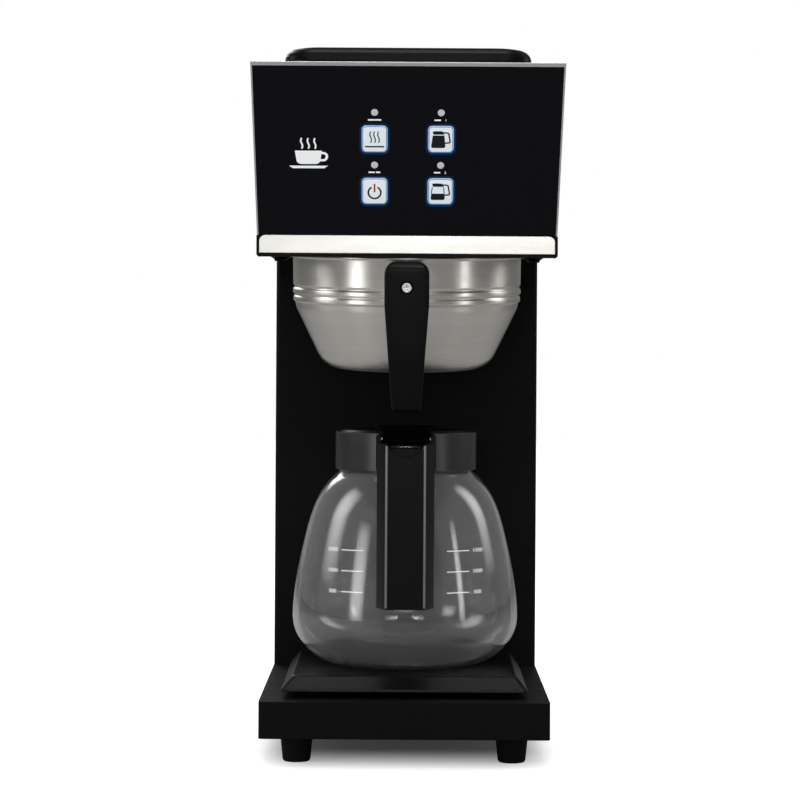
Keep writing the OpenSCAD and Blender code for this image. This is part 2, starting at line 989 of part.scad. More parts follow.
module top_lid() color("#121213") {
    mid = front_y + lid_e + lid_d / 2;
    gap = 0.6;
    r = 18;
    wall = 3;
    crown = 8;
    difference() {
        union() {
            translate([0, mid, deck_z + gap])
                linear_extrude(lid_h - crown - gap)
                    rounded(lid_w, lid_d, r);
            translate([0, mid, deck_z + lid_h - crown])
                hull() {
                    linear_extrude(0.01)
                        rounded(lid_w, lid_d, r, $fn = 32);
                    translate([0, 0, crown * 0.62])
                        linear_extrude(0.01)
                            rounded(lid_w - 5, lid_d - 5, r - 2, $fn = 32);
                    translate([0, 0, crown - 1.2])
                        linear_extrude(0.01)
                            rounded(lid_w - 18, lid_d - 18, r - 4, $fn = 32);
                    translate([0, 0, crown])
                        linear_extrude(0.01)
                            rounded(lid_w - 80, lid_d - 80, r, $fn = 32);
                }
        }
        translate([0, mid, deck_z - 1])
            linear_extrude(lid_h - wall - 1)
                rounded(lid_w - 2 * wall, lid_d - 2 * wall - 12, r - wall);
        translate([-lid_w, hinge_y + 2, deck_z - 1])
            cube([2 * lid_w, 10, hinge_z - 4.5 - deck_z]);
        for (side = [-1, 1]) {
            translate([side * ear_x - 3.2, hinge_y - 8, deck_z - 1])
                cube([6.4, 30, hinge_z + 5 - deck_z]);
            translate([side * ear_x - 11.5, hinge_y - 8, deck_z - 1])
                cube([23, 30, 5]);
            translate([side * ear_x - 8.3, hinge_y, hinge_z])
                rotate([0, 90, 0])
                    cylinder(r = 1.5 + fit, h = 16.6);
        }
    }
}

// ---- brew basket ----

// Outline of the basket's wall from the floor's edge, past two beads, up to the band
function basket_wall_line(d) = [
    [basket_floor - 5 - d, -basket_h + d],
    [basket_floor + 1.4 - d, -basket_h + 1.6 + 0.5 * d],
    [basket_floor + 5.4 - d, -basket_h + 6 + 0.3 * d],
    [basket_r - 2.6 - d, -38],
    [basket_r - 1.7 - d, -33.8],
    [basket_r - 0.4 - d, -32.2],
    [basket_r - 0.4 - d, -30.2],
    [basket_r - 1.6 - d, -28.4],
    [basket_r - 0.1 - d, -26.8],
    [basket_r - 0.1 - d, -24.8],
    [basket_r - 1.3 - d, -22.9],
    [basket_r - 0.3 - d, -21]
];

module brew_basket() color("#c9c7c1") {
    outer = basket_wall_line(0);
    inner = basket_wall_line(basket_wall);
    in_basket()
        difference() {
            rotate_extrude($fn = 96)
                polygon(concat(
                    [[0, -basket_h]],
                    outer,
                    [[basket_r, -rim_t], [rim_r, -rim_t], [rim_r, 0], [basket_r - basket_wall, 0]],
                    [for (n = [len(inner) - 1 : -1 : 0]) inner[n]],
                    [[0, -basket_h + basket_wall]]
                ));
            translate([0, 0, -basket_h - 1])
                cylinder(r = 4, h = 5);
        }
}

module filter_wire() color("#c4c6c8") {
    wire = 0.9;
    low = -basket_h + basket_wall + wire + fit;
    in_basket() {
        translate([0, 0, low])
            rotate_extrude()
                translate([40, 0])
                    circle(wire, $fn = 16);
        translate([0, 0, low])
            rotate_extrude()
                translate([22, 0])
                    circle(wire, $fn = 16);
        for (turn = [0 : 45 : 315])
            rotate([0, 0, turn])
                translate([22, 0, low])
                    rotate([0, 90, 0])
                        cylinder(r = wire * 0.9, h = 18, $fn = 16);
    }
}

module basket_bracket() color("#bfc1c2") {
    in_basket()
        difference() {
            translate([-9, -handle_front + 12.05, screw_h - 12])
                cube([18, 20, 22]);
            translate([0, 0, -60])
                cylinder(r = basket_r + fit, h = 70, $fn = 96);
            translate([0, -handle_front, screw_h])
                rotate([-90, 0, 0])
                    cylinder(r = 2 + fit, h = 20);
        }
}

// The basket handle: a tapered bar with round top corners, hollowed by the screw's recess
module basket_handle() color("#141416") {
    top_w = 30.3;
    foot_w = 19.5;
    r = 9;
    top = -1.7;
    foot = -103.7;
    straight = -64;
    in_basket()
        difference() {
            intersection() {
                translate([0, -handle_front + 30, 0])
                    rotate([90, 0, 0])
                        linear_extrude(40)
                            union() {
                                polygon([
                                    [-foot_w / 2, foot], [foot_w / 2, foot],
                                    [top_w / 2, top - r - 20], [top_w / 2, top - r],
                                    [-top_w / 2, top - r], [-top_w / 2, top - r - 20]
                                ]);
                                translate([-top_w / 2 + r, top - r - 1])
                                    square([top_w - 2 * r, r + 1]);
                                for (x = [-1, 1])
                                    translate([x * (top_w / 2 - r), top - r])
                                        circle(r);
                            }
                translate([-30, 0, 0])
                    rotate([90, 0, 90])
                        linear_extrude(60)
                            polygon([
                                [-handle_front + 3, top], [-handle_front, top - 5],
                                [-handle_front, straight], [-handle_front + 5, foot],
                                [-handle_front + 14, foot], [-handle_front + 12, straight],
                                [-handle_front + 12, top]
                            ]);
            }
            translate([0, -handle_front - 1, screw_h])
                rotate([-90, 0, 0])
                    cylinder(r = 4.5, h = 4);
            translate([0, -handle_front - 1, screw_h])
                rotate([-90, 0, 0])
                    cylinder(r = 2 + fit, h = 30);
        }
}

module basket_screw() color("#c9cbcc") {
    in_basket()
        translate([0, -handle_front + 1, screw_h])
            rotate([-90, 0, 0])
                screw(3.25, 2, 2, 16);
}

// ---- carafe ----

// Points of a quarter-like curve from a to b that leaves a towards c and arrives at b from c
function curve(a, c, b, steps) = [
    for (n = [0 : steps])
        let (t = n / steps)
            (1 - t) * (1 - t) * a + 2 * t * (1 - t) * c + t * t * b
];

// A wall of even thickness: every point is moved square to its neighbours' line
function shifted(line, d) = [
    for (n = [0 : len(line) - 1])
        let (
            a = line[max(n - 1, 0)],
            b = line[min(n + 1, len(line) - 1)],
            run = (b - a) / norm(b - a)
        )
            [max(line[n].x + run.y * d, 0), line[n].y - run.x * d]
];

module carafe_glass() color("#dfe6e8", 0.4) {
    outer = shifted(glass_line, glass_wall / 2);
    inner = shifted(glass_line, -glass_wall / 2);
    last = len(inner) - 1;
    in_carafe()
        rotate_extrude($fn = 96)
            polygon(concat(outer, [for (n = [last : -1 : 0]) inner[n]]));
}

module carafe_collar() color("#1b1b1d") {
    spout = 2.2;
    in_carafe()
        difference() {
            translate([0, 0, collar_z])
                ring(collar_r, neck_r + 0.1, collar_top - collar_z, $fn = 96);
            translate([-19, -60, lid_axis_z - 8])
                cube([38, 30, 20]);
            translate([0, 0, collar_top - 6])
                cylinder(r = collar_r - spout, h = 10, $fn = 96);
        }
}

module carafe_handle() color("#131314") {
    front_w = 25.6;
    back_w = 38.5;
    grip_t = 18;
    top = 158.8;
    foot = 49;
    root_y = -collar_r - 0.1;
    in_carafe()
        difference() {
            union() {
                translate([0, 0, foot])
                    linear_extrude(top - foot)
                        polygon([
                            [-front_w / 2, -grip_reach], [front_w / 2, -grip_reach],
                            [back_w / 2, -grip_reach + grip_t - 4],
                            [back_w / 2, -grip_reach + grip_t],
                            [-back_w / 2, -grip_reach + grip_t],
                            [-back_w / 2, -grip_reach + grip_t - 4]
                        ]);
                translate([-19, -grip_reach + grip_t - 1, collar_z + 2])
                    cube([38, grip_reach - grip_t + 1 + root_y + 9, top - collar_z - 6]);
                for (side = [-1, 1])
                    translate([side * 18.8 - 1.7, lid_axis_y - 7.5, collar_z + 2])
                        cube([3.4, 7.5 - lid_axis_y + root_y + 5, lid_axis_z - collar_z + 0.8]);
            }
            cylinder(r = collar_r + 0.1, h = 200, $fn = 96);
            translate([0, -grip_reach - 1, top + 4])
                rotate([-90, 0, 0])
                    cylinder(r = 13, h = grip_t + 12);
            translate([-17.1, -64, lid_axis_z - 8])
                cube([34.2, 30, 20]);
            translate([-40, lid_axis_y, lid_axis_z])
                rotate([0, 90, 0])
                    cylinder(r = 1.5 + fit, h = 80);
        }
}

module carafe_hinge_pin() color("#b9bbbd") {
    in_carafe()
        translate([-20.5, lid_axis_y, lid_axis_z])
            rotate([0, 90, 0])
                cylinder(r = 1.5, h = 41);
}

module carafe_lid() color("#18181a") {
    disc_r = collar_r - 2.2 - 0.9;
    base = collar_top - 5.4;
    skirt_r = neck_r - glass_wall - 1.4;
    in_carafe()
        difference() {
            union() {
                rotate_extrude($fn = 96)
                    polygon([
                        [9, base], [skirt_r - 2.4, base], [skirt_r - 2.4, base - 5],
                        [skirt_r, base - 5], [skirt_r, base], [disc_r, base],
                        [disc_r, base + 5.5], [disc_r - 2, base + 7], [disc_r - 6, base + 7],
                        [24, base + 4], [12, base + 2], [9, base + 2]
                    ]);
                translate([-16.5, lid_axis_y, lid_axis_z])
                    rotate([0, 90, 0])
                        cylinder(r = 3.6, h = 33);
                translate([-16.5, lid_axis_y, lid_axis_z])
                    cube([33, 14, 3.6]);
                thumb_tab();
            }
            translate([-30, lid_axis_y, lid_axis_z])
                rotate([0, 90, 0])
                    cylinder(r = 1.5 + fit, h = 60);
        }
}

// The upright fan-shaped thumb tab ahead of the lid's hinge
module thumb_tab() {
    translate([0, lid_axis_y, lid_axis_z])
        intersection() {
            rotate([90, 0, 0])
                linear_extrude(40, center = true)
                    polygon([
                        [-16.5, 0], [16.5, 0], [16.5, 6.6], [18, 7.2], [22.4, 11],
                        [-22.4, 11], [-18, 7.2], [-16.5, 6.6]
                    ]);
            rotate([90, 0, 90])
                linear_extrude(60, center = true)
                    polygon([[-3.6, 0], [0, 0], [0, 3.6], [-10, 8], [-14, 11], [-16, 11], [-12, 6]]);
        }
}

base_shell();
base_bottom_plate();
rubber_feet();
foot_screws();
hotplate();
hotplate_posts();
hotplate_screws();
hotplate_element();
hotplate_thermostat();
column_cover();
column_rear_panel();
rear_panel_screws();
head_under_frame();
steel_strip();
head_shell();
control_panel();
indicator_lenses();
control_board();
board_standoffs();
tact_switches();
basket_rail_left();
basket_rail_right();
rail_screws();
water_reservoir();
level_probes();
check_valve();
inlet_hose();
riser_hose();
hose_clamps();
flow_heater();
heating_element();
heater_brackets();
heater_thermostats();
spray_pipe();
spray_head();
power_board();
transformer();
power_relays();
terminal_block();
power_inlet();
inlet_pins();
main_harness();
lid_hinge_bracket();
lid_hinge_pins();
key_warmer();
key_power();
key_brew_full();
key_brew_half();
brew_basket();
basket_bracket();
basket_handle();
basket_screw();
filter_wire();
carafe_glass();
carafe_collar();
carafe_handle();
carafe_hinge_pin();
carafe_lid();
top_lid();
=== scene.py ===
import json
import math

import bmesh
import bpy
from mathutils import Matrix, Vector


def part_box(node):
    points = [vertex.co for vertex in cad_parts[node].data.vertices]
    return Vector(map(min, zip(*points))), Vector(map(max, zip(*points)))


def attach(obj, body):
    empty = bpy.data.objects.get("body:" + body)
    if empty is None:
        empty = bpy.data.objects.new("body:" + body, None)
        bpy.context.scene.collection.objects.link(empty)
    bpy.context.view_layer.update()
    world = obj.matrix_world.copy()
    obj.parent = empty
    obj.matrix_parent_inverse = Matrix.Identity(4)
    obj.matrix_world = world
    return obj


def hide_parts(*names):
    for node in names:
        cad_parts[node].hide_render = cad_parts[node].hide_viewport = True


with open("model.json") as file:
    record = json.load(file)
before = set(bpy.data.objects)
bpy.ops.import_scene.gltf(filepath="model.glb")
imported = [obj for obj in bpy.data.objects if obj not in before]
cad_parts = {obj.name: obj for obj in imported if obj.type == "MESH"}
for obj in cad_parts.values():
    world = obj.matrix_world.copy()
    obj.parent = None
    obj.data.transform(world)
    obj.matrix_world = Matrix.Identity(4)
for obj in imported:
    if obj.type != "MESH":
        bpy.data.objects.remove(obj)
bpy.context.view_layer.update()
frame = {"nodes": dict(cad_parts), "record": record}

mm = 0.001
nodes = frame["nodes"]


def lowOf(node):
    return Vector(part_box(node)[0])


def highOf(node):
    return Vector(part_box(node)[1])


# Camera and light

view = {
    "distance": 1700 * mm,   # from the front edge of the base
    "height": 281 * mm,
    "lens": 113.85,
    "shift": (-0.0081, -0.0625),
    "roll": -0.35,           # degrees
    "fade": 36,              # keeps the power of a lamp that fades to its edges
    "back": 0.20,            # brightness of the room as the machine sees it
    "floor": (0.30, 0.30, 0.30),
    "floorGlow": 1.08,       # what the camera sees of it, on top of the light it catches
    "shade": (125 * mm, 225 * mm, 150 * mm),   # half width, half depth and soft edge of the shade below
}

softBoxes = {
    # name: place, aim, width, height, power
    "leftBox": ((-1.25, -1.10, 0.42), (0, -0.06, 0.30), 0.50, 1.0, 4.2),
    "rightBox": ((1.40, -0.90, 0.42), (0, -0.06, 0.30), 0.22, 1.0, 2.0),
    "farLeftBox": ((-1.50, -0.05, 0.95), (0, -0.05, 0.20), 0.8, 1.4, 8),
    "farRightBox": ((1.45, 0.35, 0.95), (0, -0.05, 0.20), 0.6, 1.4, 5),
    "nearBox": ((0, -2.3, 0.46), (0, 0, 0.35), 0.9, 0.5, 3.4),
    "topBox": ((0, -0.35, 1.95), (0, -0.05, 0.30), 1.3, 1.3, 22),
    "frontBox": ((0, -2.0, 1.65), (0, -0.05, 0.35), 1.8, 0.8, 22),
    "backBox": ((-0.7, 1.5, 1.2), (0, 0, 0.3), 0.8, 1.2, 8),
}


def put(tree, socket, value):
    # a number is written into the socket and an output is linked to it
    if isinstance(value, (int, float)):
        socket.default_value = value
    else:
        tree.links.new(value, socket)


def mathNode(tree, operation, *values, clamp=False):
    node = tree.nodes.new("ShaderNodeMath")
    node.operation = operation
    node.use_clamp = clamp
    for socket, value in zip(node.inputs, values):
        put(tree, socket, value)
    return node.outputs[0]


def axesOf(tree, vector):
    parts = tree.nodes.new("ShaderNodeSeparateXYZ")
    tree.links.new(vector, parts.inputs[0])
    return parts.outputs


def aimed(place, aim):
    turn = (Vector(aim) - Vector(place)).to_track_quat("-Z", "Y")
    return Matrix.Translation(place) @ turn.to_matrix().to_4x4()


def makeCamera():
    data = bpy.data.cameras.new("camera")
    data.sensor_width = 36
    data.lens = view["lens"]
    data.shift_x, data.shift_y = view["shift"]
    data.clip_end = 50
    camera = bpy.data.objects.new("camera", data)
    front = lowOf("base_shell").y
    camera.location = (0, front - view["distance"], view["height"])
    camera.rotation_euler = (math.radians(90), math.radians(view["roll"]), 0)
    bpy.context.collection.objects.link(camera)
    bpy.context.scene.camera = camera


def fadeEdges(data):
    # a soft box is brightest in its middle, 4u(1-u) across and up, with its whole power kept
    data.use_nodes = True
    tree = data.node_tree
    place = axesOf(tree, tree.nodes.new("ShaderNodeNewGeometry").outputs["Parametric"])
    fades = []
    for label in ("X", "Y"):
        rest = mathNode(tree, "SUBTRACT", 1, place[label])
        fades.append(mathNode(tree, "MULTIPLY", place[label], rest))
    both = mathNode(tree, "MULTIPLY", *fades)
    tree.links.new(mathNode(tree, "MULTIPLY", both, view["fade"]), tree.nodes["Emission"].inputs["Strength"])


def makeLights():
    for name, (place, aim, width, height, power) in softBoxes.items():
        data = bpy.data.lights.new(name, "AREA")
        data.shape = "RECTANGLE"
        data.size, data.size_y, data.energy = width, height, power
        fadeEdges(data)
        lamp = bpy.data.objects.new(name, data)
        lamp.matrix_world = aimed(place, aim)
        bpy.context.collection.objects.link(lamp)
        lamp.visible_camera = False
    world = bpy.data.worlds.new("studio")
    bpy.context.scene.world = world
    world.use_nodes = True
    tree = world.node_tree
    tree.nodes.clear()
    out = tree.nodes.new("ShaderNodeOutputWorld")
    blend = tree.nodes.new("ShaderNodeMixShader")
    path = tree.nodes.new("ShaderNodeLightPath")
    room = tree.nodes.new("ShaderNodeBackground")
    backdrop = tree.nodes.new("ShaderNodeBackground")
    room.inputs["Color"].default_value = (view["back"],) * 3 + (1,)
    backdrop.inputs["Color"].default_value = (1, 1, 1, 1)
    tree.links.new(path.outputs["Is Camera Ray"], blend.inputs["Fac"])
    tree.links.new(room.outputs[0], blend.inputs[1])
    tree.links.new(backdrop.outputs[0], blend.inputs[2])
    tree.links.new(blend.outputs[0], out.inputs["Surface"])
    bpy.context.scene.view_settings.view_transform = "Standard"


makeCamera()
makeLights()
print("stage: camera and light")


# Materials

def shaderGroup(name, inputs, outputs):
    group = bpy.data.node_groups.new(name, "ShaderNodeTree")
    for label, kind, value in inputs:
        socket = group.interface.new_socket(label, in_out="INPUT", socket_type="NodeSocket" + kind)
        if kind != "Vector":
            socket.default_value = value
    for label, kind in outputs:
        group.interface.new_socket(label, in_out="OUTPUT", socket_type="NodeSocket" + kind)
    return group, group.nodes.new("NodeGroupInput"), group.nodes.new("NodeGroupOutput")


def spread(tree, value, low, high):
    # turns a 0 to 1 value into one between low and high
    node = tree.nodes.new("ShaderNodeMapRange")
    tree.links.new(value, node.inputs["Value"])
    put(tree, node.inputs["To Min"], low)
    put(tree, node.inputs["To Max"], high)
    return node.outputs["Result"]


def noiseNode(tree, vector, scale, detail=2.0, rough=0.5):
    node = tree.nodes.new("ShaderNodeTexNoise")
    node.inputs["Detail"].default_value = detail
    node.inputs["Roughness"].default_value = rough
    tree.links.new(vector, node.inputs["Vector"])
    put(tree, node.inputs["Scale"], scale)
    return node.outputs["Fac"]


def makeGrain():
    # the fine uneven skin of powder coat and of moulded plastic
    group, given, result = shaderGroup(
        "grain",
        [("Vector", "Vector", None), ("Scale", "Float", 900.0), ("Wave", "Float", 0.3)],
        [("Height", "Float"), ("Tone", "Float")])
    vector = given.outputs["Vector"]
    fine = noiseNode(group, vector, given.outputs["Scale"], 3.0, 0.6)
    slowScale = mathNode(group, "MULTIPLY", given.outputs["Scale"], 0.16)
    slow = noiseNode(group, vector, slowScale, 1.0)
    slowPart = mathNode(group, "MULTIPLY", slow, given.outputs["Wave"])
    height = mathNode(group, "ADD", fine, slowPart)
    group.links.new(height, result.inputs["Height"])
    group.links.new(slow, result.inputs["Tone"])
    return group


def makeHandling():
    # faint smears and dull patches left by hands and a wiping cloth
    group, given, result = shaderGroup(
        "handling",
        [("Vector", "Vector", None), ("Clean", "Float", 0.35), ("Smeared", "Float", 0.5)],
        [("Roughness", "Float"), ("Mask", "Float")])
    vector = given.outputs["Vector"]
    patches = noiseNode(group, vector, 14.0, 4.0, 0.62)
    streaks = group.nodes.new("ShaderNodeMapping")
    streaks.inputs["Rotation"].default_value = (0.2, 0.5, 0.4)
    streaks.inputs["Scale"].default_value = (18, 55, 130)
    group.links.new(vector, streaks.inputs["Vector"])
    fine = noiseNode(group, streaks.outputs["Vector"], 1.0, 3.0, 0.55)
    both = mathNode(group, "MULTIPLY", patches, fine)
    mask = mathNode(group, "MULTIPLY", both, 2.6, clamp=True)
    group.links.new(mask, result.inputs["Mask"])
    group.links.new(
        spread(group, mask, given.outputs["Clean"], given.outputs["Smeared"]),
        result.inputs["Roughness"])
    return group


def makeBrushing():
    # long fine scratches along one way: the given vector is already stretched along them
    group, given, result = shaderGroup(
        "brushing", [("Vector", "Vector", None)], [("Height", "Float"), ("Tone", "Float")])
    vector = given.outputs["Vector"]
    hair = noiseNode(group, vector, 1.0, 3.0, 0.7)
    bandVector = group.nodes.new("ShaderNodeVectorMath")
    bandVector.operation = "SCALE"
    bandVector.inputs["Scale"].default_value = 0.13
    group.links.new(vector, bandVector.inputs[0])
    band = noiseNode(group, bandVector.outputs[0], 1.0, 2.0, 0.5)
    height = mathNode(group, "ADD", hair, mathNode(group, "MULTIPLY", band, 0.6))
    hairTone = mathNode(group, "MULTIPLY", hair, 0.6)
    tone = mathNode(group, "ADD", hairTone, mathNode(group, "MULTIPLY", band, 0.4))
    group.links.new(height, result.inputs["Height"])
    group.links.new(tone, result.inputs["Tone"])
    return group


def makeDust():
    # a thin veil of dust on faces that look up
    group, given, result = shaderGroup(
        "dust", [("Vector", "Vector", None), ("Normal", "Vector", None), ("Amount", "Float", 0.2)],
        [("Mask", "Float")])
    upward = mathNode(group, "POWER", axesOf(group, given.outputs["Normal"])["Z"], 3.0, clamp=True)
    specks = noiseNode(group, given.outputs["Vector"], 420.0, 4.0, 0.75)
    drift = noiseNode(group, given.outputs["Vector"], 9.0, 2.0)
    veil = mathNode(group, "MULTIPLY", mathNode(group, "MULTIPLY", specks, drift), given.outputs["Amount"])
    group.links.new(mathNode(group, "MULTIPLY", veil, upward), result.inputs["Mask"])
    return group


groups = {
    "grain": makeGrain(),
    "handling": makeHandling(),
    "brushing": makeBrushing(),
    "dust": makeDust(),
}


def useGroup(tree, name, **values):
    node = tree.nodes.new("ShaderNodeGroup")
    node.node_tree = groups[name]
    for label, value in values.items():
        put(tree, node.inputs[label], value)
    return node


def blankMaterial(name, colour):
    material = bpy.data.materials.new(name)
    material.use_nodes = True
    material.diffuse_color = (*colour[:3], 1)
    tree = material.node_tree
    shader = tree.nodes["Principled BSDF"]
    shader.inputs["Base Color"].default_value = (*colour[:3], 1)
    place = tree.nodes.new("ShaderNodeTexCoord")
    return material, tree, shader, place


def stretched(tree, vector, scale, turn=(0, 0, 0)):
    node = tree.nodes.new("ShaderNodeMapping")
    node.inputs["Scale"].default_value = scale
    node.inputs["Rotation"].default_value = turn
    tree.links.new(vector, node.inputs["Vector"])
    return node.outputs["Vector"]


def tinted(tree, shader, factor, dark, light):
    mix = tree.nodes.new("ShaderNodeMix")
    mix.data_type = "RGBA"
    mix.inputs["A"].default_value = (*dark, 1)
    mix.inputs["B"].default_value = (*light, 1)
    tree.links.new(factor, mix.inputs["Factor"])
    tree.links.new(mix.outputs["Result"], shader.inputs["Base Color"])
    return mix


def bumped(tree, shader, height, distance, strength):
    bump = tree.nodes.new("ShaderNodeBump")
    bump.inputs["Distance"].default_value = distance
    bump.inputs["Strength"].default_value = strength
    tree.links.new(height, bump.inputs["Height"])
    tree.links.new(bump.outputs["Normal"], shader.inputs["Normal"])
    return bump


coated = {
    # name: dark tone, light tone, clean and smeared roughness, grain scale, bump, specular, dust
    "powderCoat": ((0.0026, 0.0026, 0.0027), (0.0040, 0.0040, 0.0042), 0.40, 0.52, 1500, 0.12, 0.06, 0.05),
    "frameBlack": ((0.0018, 0.0018, 0.0019), (0.0030, 0.0030, 0.0032), 0.34, 0.46, 1200, 0.05, 0.08, 0.02),
    "enamel": ((0.0022, 0.0022, 0.0023), (0.0034, 0.0034, 0.0036), 0.24, 0.34, 500, 0.03, 0.08, 0.02),
    "handleBlack": ((0.0018, 0.0018, 0.0021), (0.0030, 0.0030, 0.0036), 0.24, 0.34, 2200, 0.05, 0.10, 0.01),
    "lidBlack": ((0.0018, 0.0018, 0.0019), (0.0028, 0.0028, 0.0030), 0.24, 0.36, 1600, 0.05, 0.05, 0.02),
    "collarBlack": ((0.0050, 0.0050, 0.0054), (0.0080, 0.0080, 0.0086), 0.28, 0.38, 700, 0.02, 0.6, 0.01),
    # the handle's ribs: a lighter grey that paints the highlight along the handle's edges, on top of their
    # real gloss
    "paintedHighlightEdge": ((0.10, 0.10, 0.105), (0.15, 0.15, 0.155), 0.26, 0.36, 2200, 0.04, 0.7, 0.0),
    "footRubber": ((0.0030, 0.0030, 0.0030), (0.005, 0.005, 0.005), 0.6, 0.75, 900, 0.22, 0.12, 0.05),
    "switchPlastic": ((0.008, 0.008, 0.009), (0.013, 0.013, 0.014), 0.4, 0.55, 1500, 0.1, 0.4, 0.02),
    "cableBlack": ((0.010, 0.010, 0.011), (0.016, 0.016, 0.017), 0.45, 0.6, 1200, 0.1, 0.4, 0.02),
    "nylon": ((0.66, 0.63, 0.54), (0.76, 0.74, 0.66), 0.4, 0.55, 700, 0.06, 0.45, 0.0),
    "tankPlastic": ((0.68, 0.67, 0.62), (0.76, 0.75, 0.70), 0.35, 0.5, 500, 0.05, 0.45, 0.0),
    "silicone": ((0.66, 0.64, 0.59), (0.74, 0.72, 0.68), 0.42, 0.55, 600, 0.06, 0.45, 0.0),
    "boardGreen": ((0.010, 0.085, 0.035), (0.018, 0.13, 0.055), 0.25, 0.35, 300, 0.05, 0.5, 0.0),
    "relayBlue": ((0.02, 0.045, 0.16), (0.03, 0.06, 0.21), 0.3, 0.4, 1000, 0.05, 0.5, 0.0),
    "transformerTape": ((0.42, 0.27, 0.06), (0.52, 0.35, 0.10), 0.35, 0.5, 400, 0.1, 0.45, 0.0),
}


def makeCoated(name):
    dark, light, clean, smeared, scale, depth, specular, dusty = coated[name]
    material, tree, shader, place = blankMaterial(name, light)
    vector = place.outputs["Object"]
    grain = useGroup(tree, "grain", Vector=vector, Scale=float(scale))
    hands = useGroup(tree, "handling", Vector=vector, Clean=clean, Smeared=smeared)
    mix = tinted(tree, shader, grain.outputs["Tone"], dark, light)
    if dusty:
        veil = useGroup(tree, "dust", Vector=vector, Normal=place.outputs["Normal"], Amount=dusty)
        over = tree.nodes.new("ShaderNodeMix")
        over.data_type = "RGBA"
        over.inputs["B"].default_value = (0.35, 0.34, 0.32, 1)
        tree.links.new(veil.outputs["Mask"], over.inputs["Factor"])
        tree.links.new(mix.outputs["Result"], over.inputs["A"])
        tree.links.new(over.outputs["Result"], shader.inputs["Base Color"])
    tree.links.new(hands.outputs["Roughness"], shader.inputs["Roughness"])
    shader.inputs["Specular IOR Level"].default_value = specular
    bumped(tree, shader, grain.outputs["Height"], 0.0002, depth)
    return material


metals = {
    # name: dark tone, light tone, clean and smeared roughness, stretch of the brushing, bump
    "stripSteel": ((0.56, 0.55, 0.51), (0.74, 0.73, 0.69), 0.24, 0.32, (6, 900, 900), 0.08),
    "shellSteel": ((0.56, 0.55, 0.53), (0.74, 0.73, 0.71), 0.28, 0.38, (900, 7, 900), 0.10),
    "zincSheet": ((0.42, 0.43, 0.44), (0.58, 0.59, 0.60), 0.35, 0.5, (60, 60, 60), 0.06),
    "screwSteel": ((0.55, 0.55, 0.55), (0.74, 0.74, 0.74), 0.18, 0.3, (500, 500, 500), 0.05),
    "probeSteel": ((0.52, 0.52, 0.52), (0.68, 0.68, 0.68), 0.25, 0.35, (700, 700, 90), 0.05),
    "heaterAluminium": ((0.50, 0.51, 0.52), (0.64, 0.65, 0.66), 0.38, 0.5, (500, 500, 60), 0.06),
    "heaterSheath": ((0.12, 0.10, 0.085), (0.24, 0.20, 0.17), 0.4, 0.55, (90, 90, 90), 0.08),
    "brass": ((0.48, 0.36, 0.15), (0.66, 0.52, 0.26), 0.28, 0.4, (300, 300, 300), 0.05),
}


def makeMetal(name):
    dark, light, clean, smeared, stretch, depth = metals[name]
    material, tree, shader, place = blankMaterial(name, light)
    vector = place.outputs["Object"]
    lines = useGroup(tree, "brushing", Vector=stretched(tree, vector, stretch))
    hands = useGroup(tree, "handling", Vector=vector, Clean=clean, Smeared=smeared)
    tinted(tree, shader, lines.outputs["Tone"], dark, light)
    tree.links.new(hands.outputs["Roughness"], shader.inputs["Roughness"])
    shader.inputs["Metallic"].default_value = 1.0
    bumped(tree, shader, lines.outputs["Height"], 0.00008, depth)
    return material


def makeBasketSteel():
    # spun steel: the brushing runs round the bowl, so the pattern is fine in height and in radius
    material, tree, shader, place = blankMaterial("basketSteel", (0.62, 0.61, 0.58))
    level = tree.nodes.new("ShaderNodeMapping")
    tilt = basket["tilt"]
    level.inputs["Rotation"].default_value = (-tilt, 0, 0)
    level.inputs["Location"].default_value = Matrix.Rotation(-tilt, 3, "X") @ -basketCentre
    tree.links.new(place.outputs["Object"], level.inputs["Vector"])
    parts = axesOf(tree, level.outputs["Vector"])
    angle = mathNode(tree, "ARCTAN2", parts["X"], parts["Y"])
    wrapped = tree.nodes.new("ShaderNodeCombineXYZ")
    tree.links.new(mathNode(tree, "SINE", angle), wrapped.inputs["X"])
    tree.links.new(mathNode(tree, "COSINE", angle), wrapped.inputs["Y"])
    tree.links.new(mathNode(tree, "MULTIPLY", parts["Z"], 1500.0), wrapped.inputs["Z"])
    lines = useGroup(tree, "brushing", Vector=wrapped.outputs[0])
    hands = useGroup(tree, "handling", Vector=place.outputs["Object"], Clean=0.26, Smeared=0.36)
    tinted(tree, shader, lines.outputs["Tone"], (0.59, 0.575, 0.53), (0.83, 0.81, 0.76))
    tree.links.new(hands.outputs["Roughness"], shader.inputs["Roughness"])
    shader.inputs["Metallic"].default_value = 1.0
    shader.inputs["Anisotropic"].default_value = 0.75
    shader.inputs["Anisotropic Rotation"].default_value = 0.25
    bumped(tree, shader, lines.outputs["Height"], 0.00006, 0.08)
    return material


def makeGlass():
    material, tree, shader, place = blankMaterial("clearGlass", (0.96, 0.968, 0.966))
    shader.inputs["Transmission Weight"].default_value = 0.955
    shader.inputs["IOR"].default_value = 1.47
    hands = useGroup(tree, "handling", Vector=place.outputs["Object"], Clean=0.0, Smeared=0.05)
    tree.links.new(hands.outputs["Roughness"], shader.inputs["Roughness"])
    waves = noiseNode(tree, place.outputs["Object"], 22.0, 1.0)
    bumped(tree, shader, waves, 0.0006, 0.12)
    return material


